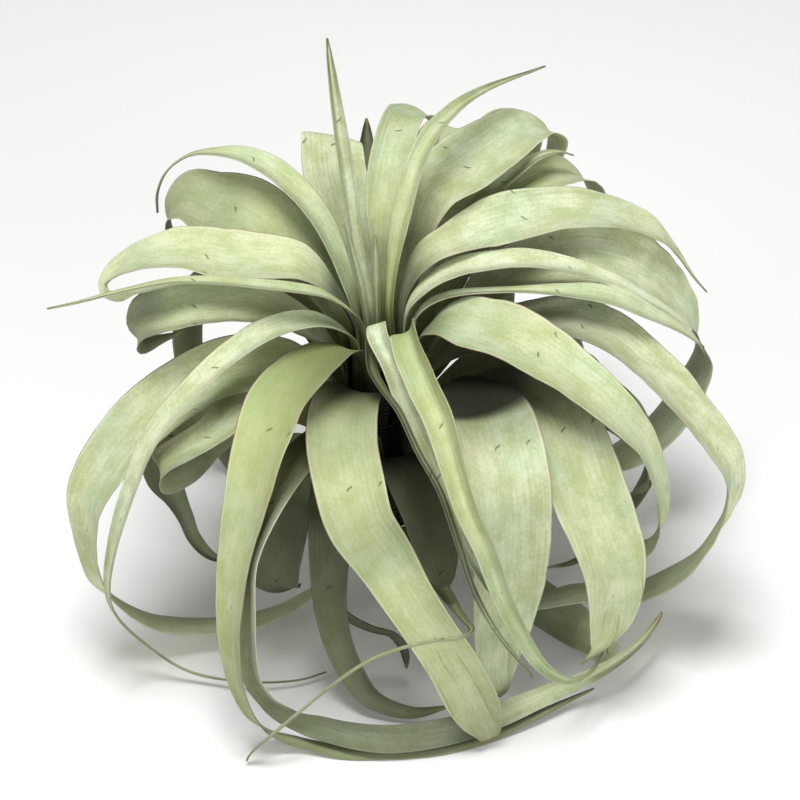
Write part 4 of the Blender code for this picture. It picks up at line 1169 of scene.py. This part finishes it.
def leaf_material():
    material = bpy.data.materials.new("velvety leaf")
    material.use_nodes = True
    tree = material.node_tree
    shader = tree.nodes["Principled BSDF"]
    shader.inputs["Specular IOR Level"].default_value = SHINE
    shader.inputs["Sheen Weight"].default_value = SHEEN
    shader.inputs["Sheen Roughness"].default_value = SHEEN_ROUGHNESS
    shader.inputs["Sheen Tint"].default_value = SHEEN_TINT

    skin_map = Wire(add_node(tree, "ShaderNodeUVMap", uv_map="UVMap").outputs[0])
    place_on_plant = outputs(add_node(tree, "ShaderNodeTexCoord"))["Object"]
    share, margin, upper, age = (attribute(tree, name) for name in ("share", "margin", "upper", "age"))
    silver, shade, rim, crease = (attribute(tree, name) for name in ("silver", "shade", "rim", "crease"))
    scales = placed_group(tree, silver_scales, Map=skin_map, Place=place_on_plant)
    fibres = placed_group(tree, long_fibres, Map=skin_map)["Line"]
    scars = placed_group(tree, small_scars, Map=skin_map)["Scar"]
    creased = placed_group(tree, dry_creases, Map=skin_map)["Crease"] * crease

    green = blended(eased_range(share, *BASE_STRETCH), BASE_YELLOW_GREEN, LEAF_GREEN)
    green = blended(eased_range(share, *TIP_STRETCH), green, TIP_GREY_GREEN)
    # Darker and more olive on the older, lower leaves: partly their age, partly painted shade.
    green = blended(eased_range(age, *OLD_LEAVES, 0.0, OLD_AND_SHADE_STRENGTH), green, OLD_AND_SHADED_OLIVE)
    cover = silver * COVER_BY_SILVER + COVER_WITHOUT_SILVER
    cover = cover * (scales["Cover"] * COVER_BY_PATCH + COVER_OFF_PATCHES)
    full_from = COVER_FULL - silver * FULL_EARLIER_BY_SILVER
    cover = cover * eased_range(share, COVER_STARTS, full_from, BARE_BASE_COVER, 1.0)
    skin = blended(calc("MINIMUM", cover, 1.0), green, SILVER)
    skin = blended(fibres * FIBRE_STRENGTH, skin, LEAF_GREEN)
    skin = blended(1.0, skin, blended(scales["Tint"], COOL_TINT, WARM_TINT), "MULTIPLY")
    # Painted shade: the under face is darker and more olive, less so towards the tips.
    under_face_shade = eased_range(upper, *UNDER_FACE) * eased_range(share, *UNDER_STRETCH, *UNDER_SHADE_STRENGTH)
    skin = blended(under_face_shade, skin, UNDER_FACE_SHADE_OLIVE)

    red_patches = eased_range(noise(skin_map * RED_PATCH_SCALE, 1.0, detail=2.0), *RED_PATCH_EDGE)
    red_share = eased_range(share, *RED_STRETCH, *RED_STRENGTH) * red_patches
    # Painted highlight: a pale band along the margins, where edges catch the light.
    skin = blended(eased_range(margin, *PALE_MARGIN, 0.0, MARGIN_HIGHLIGHT_STRENGTH), skin, MARGIN_HIGHLIGHT_PALE)
    skin = blended(eased_range(margin, *RED_MARGIN) * red_share, skin, MARGIN_RED)
    skin = blended(scars * SCAR_STRENGTH, skin, SCAR_DARK)
    # Painted shade: the creases are darkened where shade lies in their folds.
    skin = blended(creased * CREASE_SHADE_STRENGTH, skin, CREASE_SHADE_DARK)
    # Painted highlight: silver along the right margin of the lit rim stretch, where the painted shade is
    # lifted too.
    right_margin = margin * calc("SIGN", parts_of(skin_map)["X"])
    lit_rim = rim * eased_range(right_margin, *LIT_RIM_EDGE)
    skin = blended(lit_rim * LIT_RIM_STRENGTH, skin, SILVER)
    # Painted shade: the shade of the leaves above and the dark low down beside the stem are painted in as
    # near black.
    painted_shade = calc("MAXIMUM", shade * (1.0 - lit_rim), hub_painted_shade(place_on_plant) * HUB_SHADE_STRENGTH)
    skin = blended(painted_shade, skin, PAINTED_SHADE_DARK)
    skin = blended(eased_range(share, *DRY_STRETCH), skin, DRY_TIP)

    channel = add_node(tree, "ShaderNodeBump")
    fill(channel, Distance=CHANNEL_DEPTH, Height=margin * margin * calc("SIGN", upper))
    relief = add_node(tree, "ShaderNodeBump")
    fill(relief, Strength=RELIEF_STRENGTH, Distance=SCALE_RELIEF, Normal=outputs(channel)["Normal"],
         Height=scales["Height"] * SCALES_PART_OF_RELIEF + fibres - creased * CREASE_RELIEF)
    fill(shader, Base_Color=skin, Roughness=eased_range(scales["Cover"], 0.0, 1.0, *LEAF_ROUGHNESS),
         Normal=outputs(relief)["Normal"])
    return material


velvety_leaf = leaf_material()
print("leaf material:", len(velvety_leaf.node_tree.nodes), "nodes")

# %% [markdown]
# ## Making the leaves
# The tree runs once for each route. Its result is copied into a plain mesh, and the route is removed.
# The values that only the tree needed are dropped from the mesh, and those that the skin reads stay.
# A leaf's number in the table is a part of its node's name.

# %% Making the leaves
BROAD_LEAF_WIDTH = 15
BROAD_POINTS_ROUND = 28
NARROW_POINTS_ROUND = 18
WAVE_DEPTH = 0.09
KEPT_VALUES = {
    "share", "margin", "upper", "age", "silver", "shade", "rim", "crease", "UVMap", "position", "sharp_face",
}


def tree_modifier(thing, tree, **values):
    """Puts a tree on an object. A modifier knows the tree's inputs by their identifiers."""
    modifier = thing.modifiers.new(tree.name, "NODES")
    modifier.node_group = tree
    for item in tree.interface.items_tree:
        label = item.name.replace(" ", "_")
        if item.in_out == "INPUT" and label in values:
            modifier[item.identifier] = values[label]


def baked(source):
    """The evaluated geometry of an object, as a plain mesh."""
    graph = bpy.context.evaluated_depsgraph_get()
    return bpy.data.meshes.new_from_object(source.evaluated_get(graph))


def make_leaf(short_name, order):
    route = route_object(short_name, order)
    broad = max(row[3] for row in LEAVES[short_name]) > BROAD_LEAF_WIDTH
    tree_modifier(
        route, leaf_blade, Points_round=BROAD_POINTS_ROUND if broad else NARROW_POINTS_ROUND,
        Wave_depth=WAVE_DEPTH, Seed=float(order), Silver=LIVES[short_name]["silver"], Skin=velvety_leaf)
    mesh = baked(route)
    route.modifiers.clear()
    bpy.data.objects.remove(route)
    for attribute_name in [item.name for item in mesh.attributes]:
        item = mesh.attributes[attribute_name]
        if not (item.is_internal or item.is_required or attribute_name in KEPT_VALUES):
            mesh.attributes.remove(item)
    name = f"leaf_{order + 1:02d}_{short_name}"
    leaf = add_to_scene(name.replace("leaf_", "blade_"), mesh)
    mesh.name = leaf.name
    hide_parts(name)
    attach(leaf, "root")
    return leaf


leaves = [make_leaf(name, order) for order, name in enumerate(LEAVES)]
print("leaves:", len(leaves), "faces:", sum(len(leaf.data.polygons) for leaf in leaves))

# %% [markdown]
# ## The stem
# The stem is short, woody and almost hidden. Old leaves leave it ringed with scars, so it is turned
# from a profile whose radius swells and shrinks once for each leaf.

# %% The stem
STEM_SIDES = 48
STEM_RINGS_PER_SCAR = 6
SCAR_DEPTH = 0.35
STEM_BROWN = (0.05, 0.04, 0.025)
BARK_BROWN = (0.11, 0.088, 0.055)
GRAIN_STRETCH = (1.0, 1.0, 0.25)
GRAIN_SCALE = 900.0
BARK_ROUGHNESS = (0.8, 0.95)
BARK_RELIEF = 0.3 * MM


def stem_mesh():
    shape = bmesh.new()
    ring_step = LEAF_SPACING / STEM_RINGS_PER_SCAR
    rings = []
    for number in range(round((STEM_TOP - STEM_FOOT) / ring_step) + 1):
        height = STEM_FOOT + number * ring_step
        swell = SCAR_DEPTH * (math.sin(math.pi * (number / STEM_RINGS_PER_SCAR)) ** 2 - 1)
        radius = stem_radius(height) + swell
        rings.append([
            shape.verts.new((place(radius, height, 360 * side / STEM_SIDES) + AXIS) * MM)
            for side in range(STEM_SIDES)
        ])
    for low, high in zip(rings, rings[1:]):
        for side in range(STEM_SIDES):
            following = (side + 1) % STEM_SIDES
            shape.faces.new((low[side], low[following], high[following], high[side]))
    shape.faces.new(list(reversed(rings[0])))
    shape.faces.new(rings[-1])
    mesh = bpy.data.meshes.new("stem_with_scars")
    shape.to_mesh(mesh)
    shape.free()
    mesh.shade_smooth()
    return mesh


def stem_material():
    material = bpy.data.materials.new("woody stem")
    material.use_nodes = True
    tree = material.node_tree
    spot = outputs(add_node(tree, "ShaderNodeTexCoord"))["Object"]
    grain = noise(spot * GRAIN_STRETCH, GRAIN_SCALE, detail=4.0)
    bump = add_node(tree, "ShaderNodeBump")
    fill(bump, Distance=BARK_RELIEF, Height=grain)
    fill(tree.nodes["Principled BSDF"], Base_Color=blended(grain, STEM_BROWN, BARK_BROWN),
         Roughness=eased_range(grain, 0.0, 1.0, *BARK_ROUGHNESS), Normal=outputs(bump)["Normal"])
    return material


stem = add_to_scene("stem_with_scars", stem_mesh())
stem.data.materials.append(stem_material())
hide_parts("stem")
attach(stem, "root")
print("stem faces:", len(stem.data.polygons))

# %% [markdown]
# ## Finish
# The last cell brings the scene up to date.

# %% Finish
bpy.context.view_layer.update()
